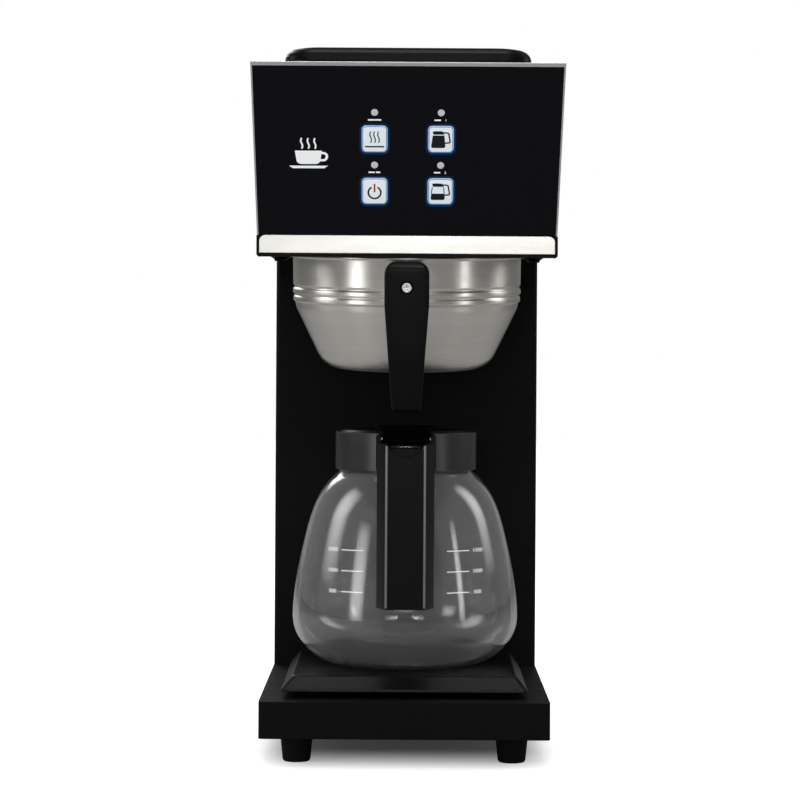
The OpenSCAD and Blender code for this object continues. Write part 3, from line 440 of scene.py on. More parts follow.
def makePrint(name, colour, paintedGlow=0.0):
    # screen-printed ink with a slightly uneven edge of thickness; a glow, where one is given, is painted
    # brightness: an emission though the ink is no lamp
    material, tree, shader, place = blankMaterial(name, colour)
    grain = useGroup(tree, "grain", Vector=place.outputs["Object"], Scale=2500.0)
    tinted(tree, shader, grain.outputs["Tone"], [c * 0.92 for c in colour], colour)
    shader.inputs["Roughness"].default_value = 0.5
    shader.inputs["Specular IOR Level"].default_value = 0.12
    if paintedGlow:
        shader.inputs["Emission Color"].default_value = (*colour, 1)
        shader.inputs["Emission Strength"].default_value = paintedGlow
    bumped(tree, shader, grain.outputs["Height"], 0.00005, 0.1)
    return material


def makePanelBlack():
    # a printed film under a clear hard coat: nearly black, with a soft blue cast
    material, tree, shader, place = blankMaterial("panelBlack", (0.0045, 0.0048, 0.0062))
    grain = useGroup(tree, "grain", Vector=place.outputs["Object"], Scale=2600.0)
    hands = useGroup(tree, "handling", Vector=place.outputs["Object"], Clean=0.24, Smeared=0.36)
    tinted(tree, shader, grain.outputs["Tone"], (0.0046, 0.0048, 0.0062), (0.0062, 0.0066, 0.0086))
    tree.links.new(hands.outputs["Roughness"], shader.inputs["Roughness"])
    shader.inputs["Specular IOR Level"].default_value = 0.04
    bumped(tree, shader, grain.outputs["Height"], 0.00008, 0.05)
    return material


def satinWithPaintedGlow(material):
    # the strip's steel is ground to a pale satin that scatters as much light as it mirrors; its faint
    # emission is a painted glow that brightens it
    shader = material.node_tree.nodes["Principled BSDF"]
    shader.inputs["Metallic"].default_value = 0.6
    # painted glow: a faint emission that makes the strip brighter though it is no lamp
    shader.inputs["Emission Color"].default_value = (1.0, 0.99, 0.95, 1)
    shader.inputs["Emission Strength"].default_value = 0.04


# Shared shapes

def corners(points, steps=6):
    # a line through (a, b, radius) points, each corner rounded by an arc of its radius
    line = []
    for n, (a, b, radius) in enumerate(points):
        here = Vector((a, b))
        if n in (0, len(points) - 1) or not radius:
            line.append(here)
            continue
        back = (Vector(points[n - 1][:2]) - here).normalized()
        ahead = (Vector(points[n + 1][:2]) - here).normalized()
        half = back.angle(ahead) / 2
        reach = radius / math.tan(half)
        centre = here + (back + ahead).normalized() * radius / math.sin(half)
        start = here + back * reach - centre
        finish = here + ahead * reach - centre
        turn = start.angle_signed(finish)
        for step in range(steps + 1):
            line.append(centre + Matrix.Rotation(-turn * step / steps, 2) @ start)
    return line


backward = Matrix.Rotation(math.radians(-90), 4, "X")   # lays an upright piece down towards +Y
forward = Matrix.Rotation(math.radians(90), 4, "X")     # towards -Y
sideways = Matrix.Rotation(math.radians(90), 4, "Y")    # towards +X


def outward(bm):
    bmesh.ops.recalc_face_normals(bm, faces=bm.faces)
    return bm


def fresh(geometry):
    # the vertices among what an operator has made
    return [item for item in geometry if isinstance(item, bmesh.types.BMVert)]


def spun(line, steps):
    # a line of (radius, height) points turned once round the Z axis
    bm = bmesh.new()
    verts = [bm.verts.new((a, 0, b)) for a, b in line]
    edges = [bm.edges.new(pair) for pair in zip(verts, verts[1:])]
    bmesh.ops.spin(
        bm, geom=verts + edges, cent=(0, 0, 0), axis=(0, 0, 1), angle=math.tau,
        steps=steps, use_merge=True, use_duplicate=False)
    bmesh.ops.remove_doubles(bm, verts=bm.verts, dist=1e-6)
    return outward(bm)


def turned(line, steps):
    # the same from a line in millimetres
    return spun([p * mm for p in line], steps)


def pin(radius, low, high, steps):
    return spun([(0, low), (radius, low), (radius, high), (0, high)], steps)


def block(width, depth, height, corner=0, along="Y", segments=6):
    # a block round the origin whose four edges along one axis may be rounded
    bm = bmesh.new()
    bmesh.ops.create_cube(bm, size=1)
    bmesh.ops.scale(bm, vec=(width, depth, height), verts=bm.verts)
    if corner:
        axis = "XYZ".index(along)
        long = [e for e in bm.edges if abs((e.verts[0].co - e.verts[1].co).normalized()[axis]) > 0.99]
        rounded(bm, long, corner, segments)
    return bm


def rounded(bm, edges, width, segments=3):
    bmesh.ops.bevel(
        bm, geom=edges, offset=width, offset_type="OFFSET", segments=segments,
        profile=0.5, affect="EDGES", clamp_overlap=True, material=-1)


def sharpEdges(bm, degrees=28):
    limit = math.radians(degrees)
    return [e for e in bm.edges if len(e.link_faces) == 2 and e.calc_face_angle(0) > limit]


def moved(bm, matrix):
    bmesh.ops.transform(bm, matrix=matrix, verts=bm.verts)
    return bm


def joined(*parts):
    # several meshes become one, in the order given
    whole = bmesh.new()
    for part in parts:
        mesh = bpy.data.meshes.new("joining")
        part.to_mesh(mesh)
        part.free()
        whole.from_mesh(mesh)
        bpy.data.meshes.remove(mesh)
    return whole


def cutAway(bm, tool):
    # the first solid less the second
    holders = []
    for name, source in (("cutBody", bm), ("cutTool", tool)):
        mesh = bpy.data.meshes.new(name)
        source.to_mesh(mesh)
        source.free()
        holder = bpy.data.objects.new(name, mesh)
        bpy.context.collection.objects.link(holder)
        holders.append(holder)
    cut = holders[0].modifiers.new("cut", "BOOLEAN")
    cut.operation = "DIFFERENCE"
    cut.solver = "EXACT"
    cut.object = holders[1]
    graph = bpy.context.evaluated_depsgraph_get()
    result = bmesh.new()
    result.from_mesh(bpy.data.meshes.new_from_object(holders[0].evaluated_get(graph)))
    for holder in holders:
        bpy.data.meshes.remove(holder.data)
    return result


def newPiece(name, bm, material, body, *replaced, slot=None, smooth=38):
    bmesh.ops.remove_doubles(bm, verts=bm.verts, dist=1e-6)
    mesh = bpy.data.meshes.new(name)
    bm.to_mesh(mesh)
    bm.free()
    mesh.shade_smooth()
    mesh.set_sharp_from_angle(angle=math.radians(smooth))
    mesh.materials.append(material)
    piece = bpy.data.objects.new(name, mesh)
    bpy.context.collection.objects.link(piece)
    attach(piece, body)
    if replaced:
        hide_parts(*replaced)
        slot = slot or slotOf[replaced[0]]
    return piece


def evened(piece):
    # large flat faces keep their own normal beside the narrow rounded ones
    modifier = piece.modifiers.new("evenNormals", "WEIGHTED_NORMAL")
    modifier.keep_sharp = True
    modifier.weight = 90


def copied(node):
    # a clean copy of a CAD node: doubles merged and flat faces made whole
    bm = bmesh.new()
    bm.from_mesh(nodes[node].data)
    bmesh.ops.remove_doubles(bm, verts=bm.verts, dist=2e-6)
    bmesh.ops.dissolve_limit(
        bm, angle_limit=math.radians(0.6), verts=bm.verts, edges=bm.edges, use_dissolve_boundaries=False)
    return bm


slotOf = {part["node"]: part["material_slot"] for part in frame["record"]["subparts"]}
bodyOf = {node: body for body, names in frame["record"]["behaviour"]["bodies"].items() for node in names}

plateHigh, plateLow = highOf("hotplate"), lowOf("hotplate")
carafePlace = Matrix.Translation((0, (plateHigh.y + plateLow.y) / 2, plateHigh.z))

basket = {
    "tilt": math.radians(3.8),
    "rim": 349.08 * mm,        # height of the rim's middle above the floor
    "band": 80.9 * mm,         # radius of the upper band
    "flange": 88.0 * mm,       # radius of the rim that hangs on the rails
    "wall": 1.2 * mm,
    "depth": 81.0 * mm,
    "floor": 57.0 * mm,        # radius where the floor starts to turn up
    "steps": 144,
}
basketCentre = Vector((0, carafePlace.translation.y, basket["rim"]))
basketPlace = Matrix.Translation(basketCentre) @ Matrix.Rotation(basket["tilt"], 4, "X")

panel = {
    "lean": math.radians(24.17),
    "foot": (0, -156.25 * mm, 358 * mm),   # middle of the panel's lower edge
    "low": 0.4 * mm,                       # from the lower to the upper edge, up the slope
    "high": 118.9 * mm,
    "lowWidth": 199.8 * mm,
    "highWidth": 204.1 * mm,
    "thick": 3 * mm,
    "inset": 0.3 * mm,                     # the face lies this far inside the steel's front edges
    "edge": 0.5 * mm,
}
panelPlace = Matrix.Translation(panel["foot"]) @ Matrix.Rotation(panel["lean"], 4, "X")

materials = {name: makeCoated(name) for name in coated}
materials.update({name: makeMetal(name) for name in metals})
materials["basketSteel"] = makeBasketSteel()
materials["clearGlass"] = makeGlass()
# the glow given to whitePrint, glassPrint, keyBlue, keyGlow, keyCap and lens is painted brightness, an
# emission on parts that are no lamps
materials["whitePrint"] = makePrint("whitePrint", (0.80, 0.81, 0.82), 0.3)
materials["glassPrint"] = makePrint("glassPrint", (0.80, 0.82, 0.82), 0.35)
materials["darkPrint"] = makePrint("darkPrint", (0.012, 0.013, 0.016))
materials["redPrint"] = makePrint("redPrint", (0.50, 0.02, 0.015))
materials["keyBlue"] = makePrint("keyBlue", (0.006, 0.15, 0.46), 0.5)
materials["keyGlow"] = makePrint("keyGlow", (0.0003, 0.018, 0.066), 0.4)
materials["keyCap"] = makePrint("keyCap", (0.70, 0.76, 0.80), 0.30)
materials["lens"] = makePrint("lens", (0.56, 0.57, 0.58), 0.15)
materials["panelBlack"] = makePanelBlack()
satinWithPaintedGlow(materials["stripSteel"])

finishOf = {
    "powder_coat": "powderCoat", "zinc_sheet": "zincSheet", "foot_rubber": "footRubber",
    "screw_steel": "screwSteel", "hotplate_enamel": "enamel", "heater_sheath": "heaterSheath",
    "thermostat_brass": "brass", "frame_black": "frameBlack", "brushed_trim": "shellSteel",
    "panel_black": "panelBlack", "lens_clear": "lens", "circuit_board": "boardGreen",
    "nylon": "nylon", "switch_plastic": "switchPlastic", "tank_plastic": "tankPlastic",
    "probe_steel": "probeSteel", "silicone": "silicone", "heater_aluminium": "heaterAluminium",
    "transformer_core": "transformerTape", "relay_blue": "relayBlue", "contact_brass": "brass",
    "cable_black": "cableBlack", "key_white": "keyCap", "basket_steel": "basketSteel",
    "handle_black": "handleBlack", "carafe_glass": "clearGlass", "collar_black": "collarBlack",
    "lid_black": "lidBlack",
}


def finish(node):
    return materials["stripSteel" if node == "steel_strip" else finishOf[slotOf[node]]]


print("stage: materials")

# Every CAD node takes its own finish; many are then replaced by a finer piece

for node, thing in nodes.items():
    if not thing.material_slots:
        thing.data.materials.append(finish(node))
    for holder in thing.material_slots:
        holder.material = finish(node)


# Folded sheet, mouldings and screws: the CAD shape with its sharp edges rounded

softened = {
    # node: piece name, width of the edge, steps round it
    "base_shell": ("baseShell", 0.9, 3),
    "column_cover": ("columnCover", 0.5, 2),
    "column_rear_panel": ("rearPanel", 0.25, 2),
    "head_under_frame": ("underFrame", 0.5, 2),
    "steel_strip": ("steelStrip", 0.3, 2),
    "head_shell": ("headShell", 0.3, 2),
    "basket_rail_left": ("basketRailLeft", 0.25, 2),
    "basket_rail_right": ("basketRailRight", 0.25, 2),
    "power_inlet": ("powerInlet", 0.5, 2),
    "lid_hinge_bracket": ("hingeEars", 0.3, 2),
    "rear_panel_screws": ("rearScrews", 0.3, 2),
    "foot_screws": ("footScrews", 0.25, 2),
    "basket_bracket": ("basketBracket", 0.5, 2),
    "basket_screw": ("basketScrew", 0.25, 2),
    "carafe_collar": ("carafeCollar", 0.6, 3),
    "carafe_handle": ("carafeHandle", 0.8, 3),
}


def softenNodes():
    for node, (name, width, segments) in softened.items():
        bm = copied(node)
        rounded(bm, sharpEdges(bm), width * mm, segments)
        evened(newPiece(name, bm, finish(node), bodyOf[node], node))


softenNodes()
print("stage: sheet metal, mouldings and screws")


# Hotplate: a square casting with sloping sides on a thin upright lip

plate = {
    "lip": 1.5 * mm,
    "top": 153 * mm,        # side of the flat top
    "corner": 3.0 * mm,
    "rimEdge": 1.1 * mm,
    "wall": 10 * mm,        # of the hollow underneath
    "skin": 5 * mm,
    "hollowCorner": 3 * mm,
}


def makeHotplate():
    low, high = lowOf("hotplate"), highOf("hotplate")
    width, height = high.x - low.x, high.z - low.z
    bm = bmesh.new()
    bmesh.ops.create_grid(bm, x_segments=1, y_segments=1, size=width / 2)
    for lift, size in ((plate["lip"], width), (height - plate["lip"], plate["top"])):
        side = max(v.co.x for v in bm.verts if v.co.z == max(u.co.z for u in bm.verts))
        top = max(bm.faces, key=lambda f: f.calc_center_median().z)
        new = bmesh.ops.extrude_face_region(bm, geom=[top])["geom"]
        verts = fresh(new)
        bmesh.ops.scale(bm, vec=(size / 2 / side, size / 2 / side, 1), verts=verts)
        bmesh.ops.translate(bm, vec=(0, 0, lift), verts=verts)
        if top.is_valid and lift != plate["lip"]:
            bmesh.ops.delete(bm, geom=[top], context="FACES_ONLY")
    corner = [e for e in bm.edges if abs(e.verts[0].co.z - e.verts[1].co.z) > mm]
    rounded(bm, corner, plate["corner"], 4)
    outward(bm)
    rim = [e for e in sharpEdges(bm, 12) if min(v.co.z for v in e.verts) > plate["lip"] / 2]
    rounded(bm, [e for e in rim if abs(e.verts[0].co.z - e.verts[1].co.z) < mm], plate["rimEdge"], 3)
    inside = width - 2 * plate["wall"]
    bm = cutAway(bm, block(inside, inside, 2 * (height - plate["skin"]), plate["hollowCorner"], "Z"))
    moved(bm, Matrix.Translation((0, (low.y + high.y) / 2, low.z)))
    evened(newPiece("hotplateCasting", bm, materials["enamel"], "machine", "hotplate", smooth=60))


makeHotplate()


# Feet: moulded rubber, tapering down to a rounded ring

feet = {
    # radius, height and rounding, from the middle of the top down the bore and up the outside
    "line": (
        (0, 20.5, 0), (0, 13.0, 0), (4.9, 13.0, 0.5), (5.0, 0.0, 0), (8.7, 0.0, 0.8), (9.5, 1.2, 0.8),
        (11.35, 18.9, 0.4), (11.35, 20.5, 0), (0, 20.5, 0)),
    "places": ((-73.5, -131.25), (73.5, -131.25), (-73.5, 173.75), (73.5, 173.75)),
}


def makeFeet():
    parts = []
    for x, y in feet["places"]:
        foot = turned(corners(feet["line"], 4), 48)
        parts.append(moved(foot, Matrix.Translation((x * mm, y * mm, 0))))
    newPiece("rubberFeet", joined(*parts), materials["footRubber"], "machine", "rubber_feet")


makeFeet()
print("stage: hotplate and feet")


# Control panel: a thick plate with rounded openings for the keys and bores for the lamps

keyPad = {
    "width": 16.6 * mm,
    "height": 18.5 * mm,
    "corner": 2.7 * mm,
    "edge": 0.35 * mm,
    "room": 0.3 * mm,        # gap all round a key
    "across": 22 * mm,
    "upper": 68.6 * mm,
    "lower": 31.8 * mm,
    "proud": 0.4 * mm,
    "flange": 1.7 * mm,      # behind the panel, this much wider all round
    "flangeThick": 1.2 * mm,
    "flangeCorner": 1.5 * mm,
    "behind": 0.1 * mm,      # from the panel's back to the flange
    "stem": (2 * mm, 3.2 * mm),
}

lamp = {
    "up": 18.5 * mm,         # over the middle of its key
    "radius": 2.35 * mm,
    "bore": 2.42 * mm,
    "deep": 8.8 * mm,
    "crown": 0.12 * mm,
    "edge": 0.3 * mm,
    "sunk": 0.2 * mm,
}

keyPlaces = {
    # node: across, up the panel
    "key_warmer": (-keyPad["across"], keyPad["upper"]),
    "key_power": (-keyPad["across"], keyPad["lower"]),
    "key_brew_full": (keyPad["across"], keyPad["upper"]),
    "key_brew_half": (keyPad["across"], keyPad["lower"]),
}
face = panel["inset"]


def onPanel(x=0, y=0, v=0):
    return panelPlace @ Matrix.Translation((x, y, v))


def makePanel():
    bm = block(panel["lowWidth"], panel["thick"], panel["high"] - panel["low"])
    top = [v for v in bm.verts if v.co.z > 0]
    bmesh.ops.scale(bm, vec=(panel["highWidth"] / panel["lowWidth"], 1, 1), verts=top)
    rounded(bm, list(bm.edges), panel["edge"], 2)
    moved(bm, Matrix.Translation((0, face + panel["thick"] / 2, (panel["high"] + panel["low"]) / 2)))
    tools = []
    for x, v in keyPlaces.values():
        gap = keyPad["room"]
        width, height = keyPad["width"] + 2 * gap, keyPad["height"] + 2 * gap
        hole = block(width, 3 * panel["thick"], height, keyPad["corner"] + gap)
        tools.append(moved(hole, Matrix.Translation((x, face, v))))
        bore = pin(lamp["bore"], -5 * mm, 9 * mm, 32)
        tools.append(moved(bore, Matrix.Translation((x, 0, v + lamp["up"])) @ backward))
    bm = cutAway(bm, joined(*tools))
    moved(bm, panelPlace)
    evened(newPiece("panelPlate", bm, materials["panelBlack"], "machine", "control_panel", smooth=30))


def makeLenses():
    radius, crown, deep = lamp["radius"], lamp["crown"], lamp["deep"]
    dome = corners([(0, crown, 0), (radius, crown, lamp["edge"]), (radius, -deep, 0), (0, -deep, 0)], 5)
    parts = []
    for x, v in keyPlaces.values():
        parts.append(moved(spun(dome, 32), onPanel(x, lamp["sunk"], v + lamp["up"]) @ forward))
    newPiece("lampLenses", joined(*parts), materials["lens"], "machine", "indicator_lenses")


def makeKeys():
    width, height = keyPad["width"], keyPad["height"]
    for node, (x, v) in keyPlaces.items():
        thick = panel["thick"] + keyPad["proud"] + keyPad["behind"]
        cap = block(width, thick, height, keyPad["corner"], segments=8)
        moved(cap, Matrix.Translation((0, face - keyPad["proud"] + thick / 2, 0)))
        front = [e for e in sharpEdges(cap, 60) if max(p.co.y for p in e.verts) < face]
        rounded(cap, front, keyPad["edge"], 3)
        base = face + panel["thick"] + keyPad["behind"]
        more, flangeThick = 2 * keyPad["flange"], keyPad["flangeThick"]
        flange = block(width + more, flangeThick, height + more, keyPad["flangeCorner"], segments=3)
        moved(flange, Matrix.Translation((0, base + flangeThick / 2, 0)))
        radius, long = keyPad["stem"]
        stem = pin(radius, 0, long, 24)
        moved(stem, Matrix.Translation((0, base + flangeThick, 0)) @ backward)
        bm = moved(joined(cap, flange, stem), onPanel(x, 0, v))
        newPiece(node.replace("_", "-") + "-cap", bm, materials["keyCap"], node, node)


makePanel()
makeLenses()
makeKeys()
print("stage: control panel, lamps and keys")


# Printed marks: flat ribbons and shapes a hair proud of the face they lie on

marks = {
    "height": 0.05 * mm,
    "line": 0.95,            # width of an icon's strokes, in millimetres
    "capFace": -0.1 * mm,    # where a key's front lies in the panel's own frame
    "border": (-0.45, -0.35, 0.5),   # past a key's edge, added to its corner's radius, width
    "halo": (1.0, 0.95, 1.3),
    "captionUp": 13.4 * mm,
    "caption": 1.0,
    "digit": 0.28,
    "cup": (-66 * mm, 56 * mm),
}

captions = {
    # node: bars that stand for its words, and the line of its numeral
    "key_warmer": ([(-4.4, 1.6), (-0.6, 4.4)], ()),
    "key_power": ([(-4.0, 0.2), (0.9, 3.8)], ()),
    "key_brew_full": ([(-4.4, -0.2)], [(3.1, -0.75), (3.1, 0.75)]),
    "key_brew_half": (
        [(-4.4, -0.2)], [(2.6, 0.5), (3.0, 0.75), (3.5, 0.5), (3.4, 0.1), (2.6, -0.7), (3.6, -0.7)]),
}


def stroke(points, width, closed=False):
    # a flat ribbon through (across, up) points, in millimetres, drawn in the X-Z plane
    bm = bmesh.new()
    spots = [Vector(p) for p in points]
    last = len(spots) - 1
    edge = None
    for n, here in enumerate(spots):
        before = spots[n - 1] if n or closed else here
        after = spots[(n + 1) % len(spots)] if n < last or closed else here
        if closed and n == last and spots[0] == spots[-1]:
            after = spots[1]
        if closed and n == 0 and spots[0] == spots[-1]:
            before = spots[-2]
        side = (after - before).normalized().orthogonal() * width / 2
        ends = [here + side, here - side]
        if edge is None:
            pair = [bm.verts.new((p.x * mm, 0, p.y * mm)) for p in ends]
            edge = bm.edges.new(pair)
            continue
        new = fresh(bmesh.ops.extrude_edge_only(bm, edges=[edge])["geom"])
        pair = [next(e.other_vert(old) for e in old.link_edges if e.other_vert(old) in new) for old in pair]
        for vert, p in zip(pair, ends):
            vert.co = (p.x * mm, 0, p.y * mm)
        edge = bm.edges.get(pair)
    return bm


def patch(points):
    bm = bmesh.new()
    bm.faces.new([bm.verts.new((a * mm, 0, b * mm)) for a, b in points])
    return bm


def arc(x, z, radius, start, end, steps=20):
    turns = [math.radians(start + (end - start) * n / steps) for n in range(steps + 1)]
    return [(x + radius * math.cos(t), z + radius * math.sin(t)) for t in turns]


def raisedMark(bm, height):
    # gives a flat mark its small thickness, towards -Y
    bmesh.ops.remove_doubles(bm, verts=bm.verts, dist=1e-7)
    new = bmesh.ops.extrude_face_region(bm, geom=list(bm.faces), use_keep_orig=True)["geom"]
    bmesh.ops.translate(bm, vec=(0, -height, 0), verts=fresh(new))
    return outward(bm)


def steamLines(x, z, gap, tall, count=3):
    lines = []
    for n in range(count):
        middle = x + (n - (count - 1) / 2) * gap
        lines.append([(middle + 0.55 * math.sin(math.tau * k / 12), z + tall * k / 12) for k in range(13)])
    return lines


def jugIcon(full):
    # a jug with its lid, a handle on the right and coffee up to the brim or half way
    line = marks["line"]
    low, high = -5.9, 2.9 if full else -1.4
    left, right = -6.7 + 1.3 * (high - low) / 8.8, 3.05 - 0.75 * (high - low) / 8.8
    coffee = corners([(left, high, 0), (-6.7, low, 1.3), (3.05, low, 1.3), (right, high, 0)], 5)
    rim = [(-5.6, 5.6), (-4.9, 3.5), (2.2, 3.5), (1.6, 5.3), (0.2, 5.85), (-3.4, 5.85)]
    handle = corners([(0.6, 4.9, 0), (5.1, 4.6, 1.0), (6.2, -2.1, 0.6), (2.6, -2.5, 0)], 4)
    parts = [patch(coffee), patch(rim), stroke(handle, line)]
    if not full:
        parts.append(stroke([(-5.3, 3.2), (-6.2, -1.4)], line * 0.6))
        parts.append(stroke([(2.1, 3.2), (2.6, -1.4)], line * 0.6))
    return parts


def iconParts(node):
    # returns (dark shapes, red shapes) of a key's icon
    line = marks["line"]
    if node == "key_warmer":
        dark = [stroke(points, line * 0.8) for points in steamLines(0, -2.5, 2.6, 7.9)]
        dark.append(patch([(-6.3, -5.7), (6.3, -5.7), (6.3, -4.7), (-6.3, -4.7)]))
        return dark, []
    if node == "key_power":
        ring = stroke(arc(0, -0.9, 4.2, 117, 423, 40), line * 1.2)
        return [ring], [stroke([(0, -0.6), (0, 5.4)], line * 1.2)]
    return jugIcon(node == "key_brew_full"), []


def keyFrame(outset, widen, width):
    # a ribbon that follows a key's rounded outline
    across, up = keyPad["width"] / mm / 2 + outset, keyPad["height"] / mm / 2 + outset
    inner = keyPad["corner"] / mm + widen
    line = corners([
        (0, up, 0), (across, up, inner), (across, -up, inner), (-across, -up, inner), (-across, up, inner),
        (0, up, 0)])
    return stroke(line, width, closed=True)


def makeIcons():
    for node, (x, v) in keyPlaces.items():
        dark, red = iconParts(node)
        place = onPanel(x, marks["capFace"], v)
        short = node.replace("key_", "").replace("_", "-")
        for name, shapes in (("dark", dark), ("red", red)):
            if shapes:
                bm = moved(raisedMark(joined(*shapes), marks["height"]), place)
                newPiece(f"icon-{short}-{name}", bm, materials[name + "Print"], node, slot="key_white")
        bm = moved(raisedMark(keyFrame(*marks["border"]), marks["height"]), place)
        newPiece(f"keyBorder-{short}", bm, materials["keyBlue"], node, slot="key_white")


def cupShapes():
    cup = patch(corners([(-9, 4.2, 0), (-7.6, -5.2, 3.2), (7.6, -5.2, 3.2), (9, 4.2, 0)], 5))
    loop = corners([(8.2, 2.6, 0), (13.2, 2.4, 2.2), (11.4, -2.6, 2.2), (7.6, -2.4, 0)], 5)
    saucer = patch([(-13, -6.4), (13, -6.4), (10.5, -8.2), (-10.5, -8.2)])
    steam = [stroke(points, 1.1) for points in steamLines(0, 5.6, 4.4, 7.4)]
    return cup, stroke(loop, 1.6), saucer, *steam


def makePanelMarks():
    # a soft blue halo round each key, short bars in place of words, and a plain cup
    halos, bars = [], []
    for node, (x, v) in keyPlaces.items():
        halos.append(moved(keyFrame(*marks["halo"]), Matrix.Translation((x, 0, v))))
        above = Matrix.Translation((x, 0, v + marks["captionUp"]))
        words, digit = captions[node]
        if digit:
            bars.append(moved(stroke(digit, marks["digit"]), above))
        for start, end in words:
            bars.append(moved(stroke([(start, 0), (end, 0)], marks["caption"]), above))
    bm = moved(raisedMark(joined(*halos), marks["height"]), onPanel(0, face, 0))
    newPiece("keyHalos", bm, materials["keyGlow"], "machine", slot="panel_black")
    across, up = marks["cup"]
    bars += [moved(shape, Matrix.Translation((across, 0, up))) for shape in cupShapes()]
    bm = moved(raisedMark(joined(*bars), marks["height"]), onPanel(0, face, 0))
    newPiece("panelMarks", bm, materials["whitePrint"], "machine", slot="panel_black")


makeIcons()
makePanelMarks()
print("stage: printed marks")


# Brew basket: spun steel with a swaged bead, a straight band and a flat rim for the rails

def makeBasket():
    band, rim, deep, floor, wall = (basket[key] / mm for key in ("band", "flange", "depth", "floor", "wall"))
    waist = band - 1.7
    line = corners([
        (4.0, -deep, 0), (floor + 1.0, -deep, 19.0), (waist - 0.9, -38.0, 14.0), (waist, -33.9, 0.8),
        (band - 0.4, -32.6, 1.1), (band - 0.4, -29.8, 1.1), (waist + 0.2, -28.4, 0.8),
        (band, -27.2, 1.1), (band, -24.4, 1.1), (waist + 0.4, -22.9, 0.8), (band - 0.2, -21.2, 1.0),
        (band, -1.5, 1.2), (rim, -1.5, 0.6), (rim, 0, 0.6), (band - wall, 0, 1.6),
        (band - 0.3 - wall, -21.0, 1.0), (waist + 0.3 - wall, -22.9, 0.6), (band - 0.2 - wall, -24.6, 0.8),
        (band - 0.2 - wall, -27.0, 0.8), (waist + 0.1 - wall, -28.4, 0.6), (band - 0.6 - wall, -30.0, 0.8),
        (band - 0.6 - wall, -32.4, 0.8), (waist - 0.1 - wall, -34.0, 0.6), (waist - 1.0 - wall, -38.2, 13.0),
        (floor + 0.4, wall - deep, 18.0), (4.0, wall - deep, 0), (4.0, -deep, 0)], 5)
    bm = moved(turned(line, basket["steps"]), basketPlace)
    newPiece("basketBowl", bm, materials["basketSteel"], "basket", "brew_basket", smooth=50)


basketGrip = {
    # in millimetres, from the middle of the basket's rim
    "top": -1.7, "foot": -103.7, "topWidth": 30.3, "footWidth": 19.5, "corner": 9.0, "footCorner": 2.6,
    "shoulder": 29, "flank": 60,       # how far down it stays wide, and the radius of the turn inwards
    "front": -103.0, "thick": 12.0, "edge": 2.0,
    "sweep": 5.0, "sweepFrom": -64.0, "sweepPower": 1.5,
    "crown": 5, "crownPull": 0.12,     # the last stretch at the top leans back
    "cuts": (-5, -8, -54, -64, -70, -76, -82, -88, -94, -99),
    "screwHeight": -19.7, "recess": 4.5, "recessDepth": 3.0, "bore": 2.05,
}


def makeBasketHandle():
    grip = basketGrip
    top, foot = grip["top"], grip["foot"]
    wide, narrow = grip["topWidth"] / 2, grip["footWidth"] / 2
    half = [(wide, top, grip["corner"]), (wide, top - grip["shoulder"], grip["flank"])]
    half.append((narrow, foot, grip["footCorner"]))
    other = [(-x, z, radius) for x, z, radius in reversed(half)]
    outline = corners([(0, top, 0), *half, *other, (0, top, 0)], 7)[:-1]
    bm = bmesh.new()
    bm.faces.new([bm.verts.new((p.x * mm, grip["front"] * mm, p.y * mm)) for p in outline])
    new = bmesh.ops.extrude_face_region(bm, geom=list(bm.faces), use_keep_orig=True)["geom"]
    bmesh.ops.translate(bm, vec=(0, grip["thick"] * mm, 0), verts=fresh(new))
    outward(bm)
    rim = [e for e in sharpEdges(bm, 60) if abs(e.verts[0].co.y - e.verts[1].co.y) < 0.1 * mm]
    rounded(bm, rim, grip["edge"] * mm, 5)
    for height in grip["cuts"]:
        geom = bm.verts[:] + bm.edges[:] + bm.faces[:]
        bmesh.ops.bisect_plane(bm, geom=geom, plane_co=(0, 0, height * mm), plane_no=(0, 0, 1))
    for vert in bm.verts:
        z = vert.co.z / mm
        away = max(0, grip["sweepFrom"] - z) / (grip["sweepFrom"] - foot)
        back = (vert.co.y / mm - grip["front"]) / grip["thick"]
        vert.co.y += away ** grip["sweepPower"] * grip["sweep"] * (1 - 0.6 * back) * mm
        vert.co.y += max(0, z - top + grip["crown"]) ** 2 * grip["crownPull"] * (1 - back) * mm
    recess, depth, bore = grip["recess"], grip["recessDepth"], grip["bore"]
    well = turned(corners([
        (0, -3, 0), (recess + 0.5, -3, 0), (recess + 0.5, 0, 0), (recess, 0.7, 0), (recess, depth, 0.4),
        (bore, depth, 0), (bore, 16, 0), (0, 16, 0)], 3), 48)
    moved(well, Matrix.Translation((0, grip["front"] * mm, grip["screwHeight"] * mm)) @ backward)
    bm = moved(cutAway(bm, well), basketPlace)
    newPiece("basketHandle", bm, materials["handleBlack"], "basket", "basket_handle", smooth=30)


rack = {
    "wire": 0.85 * mm,          # radius
    "height": -78.85 * mm,
    "rings": (22, 40),
    "rods": 8,
}


def makeFilterWire():
    # the loose wire rack that keeps the paper off the basket's floor
    wire, height = rack["wire"], rack["height"]
    small, large = rack["rings"]
    ring = [(wire * math.cos(math.tau * n / 12), wire * math.sin(math.tau * n / 12)) for n in range(13)]
    parts = []
    for radius in (small * mm, large * mm):
        parts.append(spun([(radius + a, height + b) for a, b in ring], 72))
    for n in range(rack["rods"]):
        along = [(wire * 0.9, z * mm) for z in (small, (small + large) / 2, large)]
        rod = spun([(0, small * mm), *along, (0, large * mm)], 10)
        turn = Matrix.Rotation(math.tau * n / rack["rods"], 4, "Z") @ sideways
        parts.append(moved(rod, Matrix.Translation((0, 0, height)) @ turn))
    bm = moved(joined(*parts), basketPlace)
    newPiece("filterWire", bm, materials["probeSteel"], "basket", "filter_wire")


makeBasket()
makeBasketHandle()
makeFilterWire()
print("stage: brew basket")


# Carafe: blown glass of even thickness, its printed scale and its lid

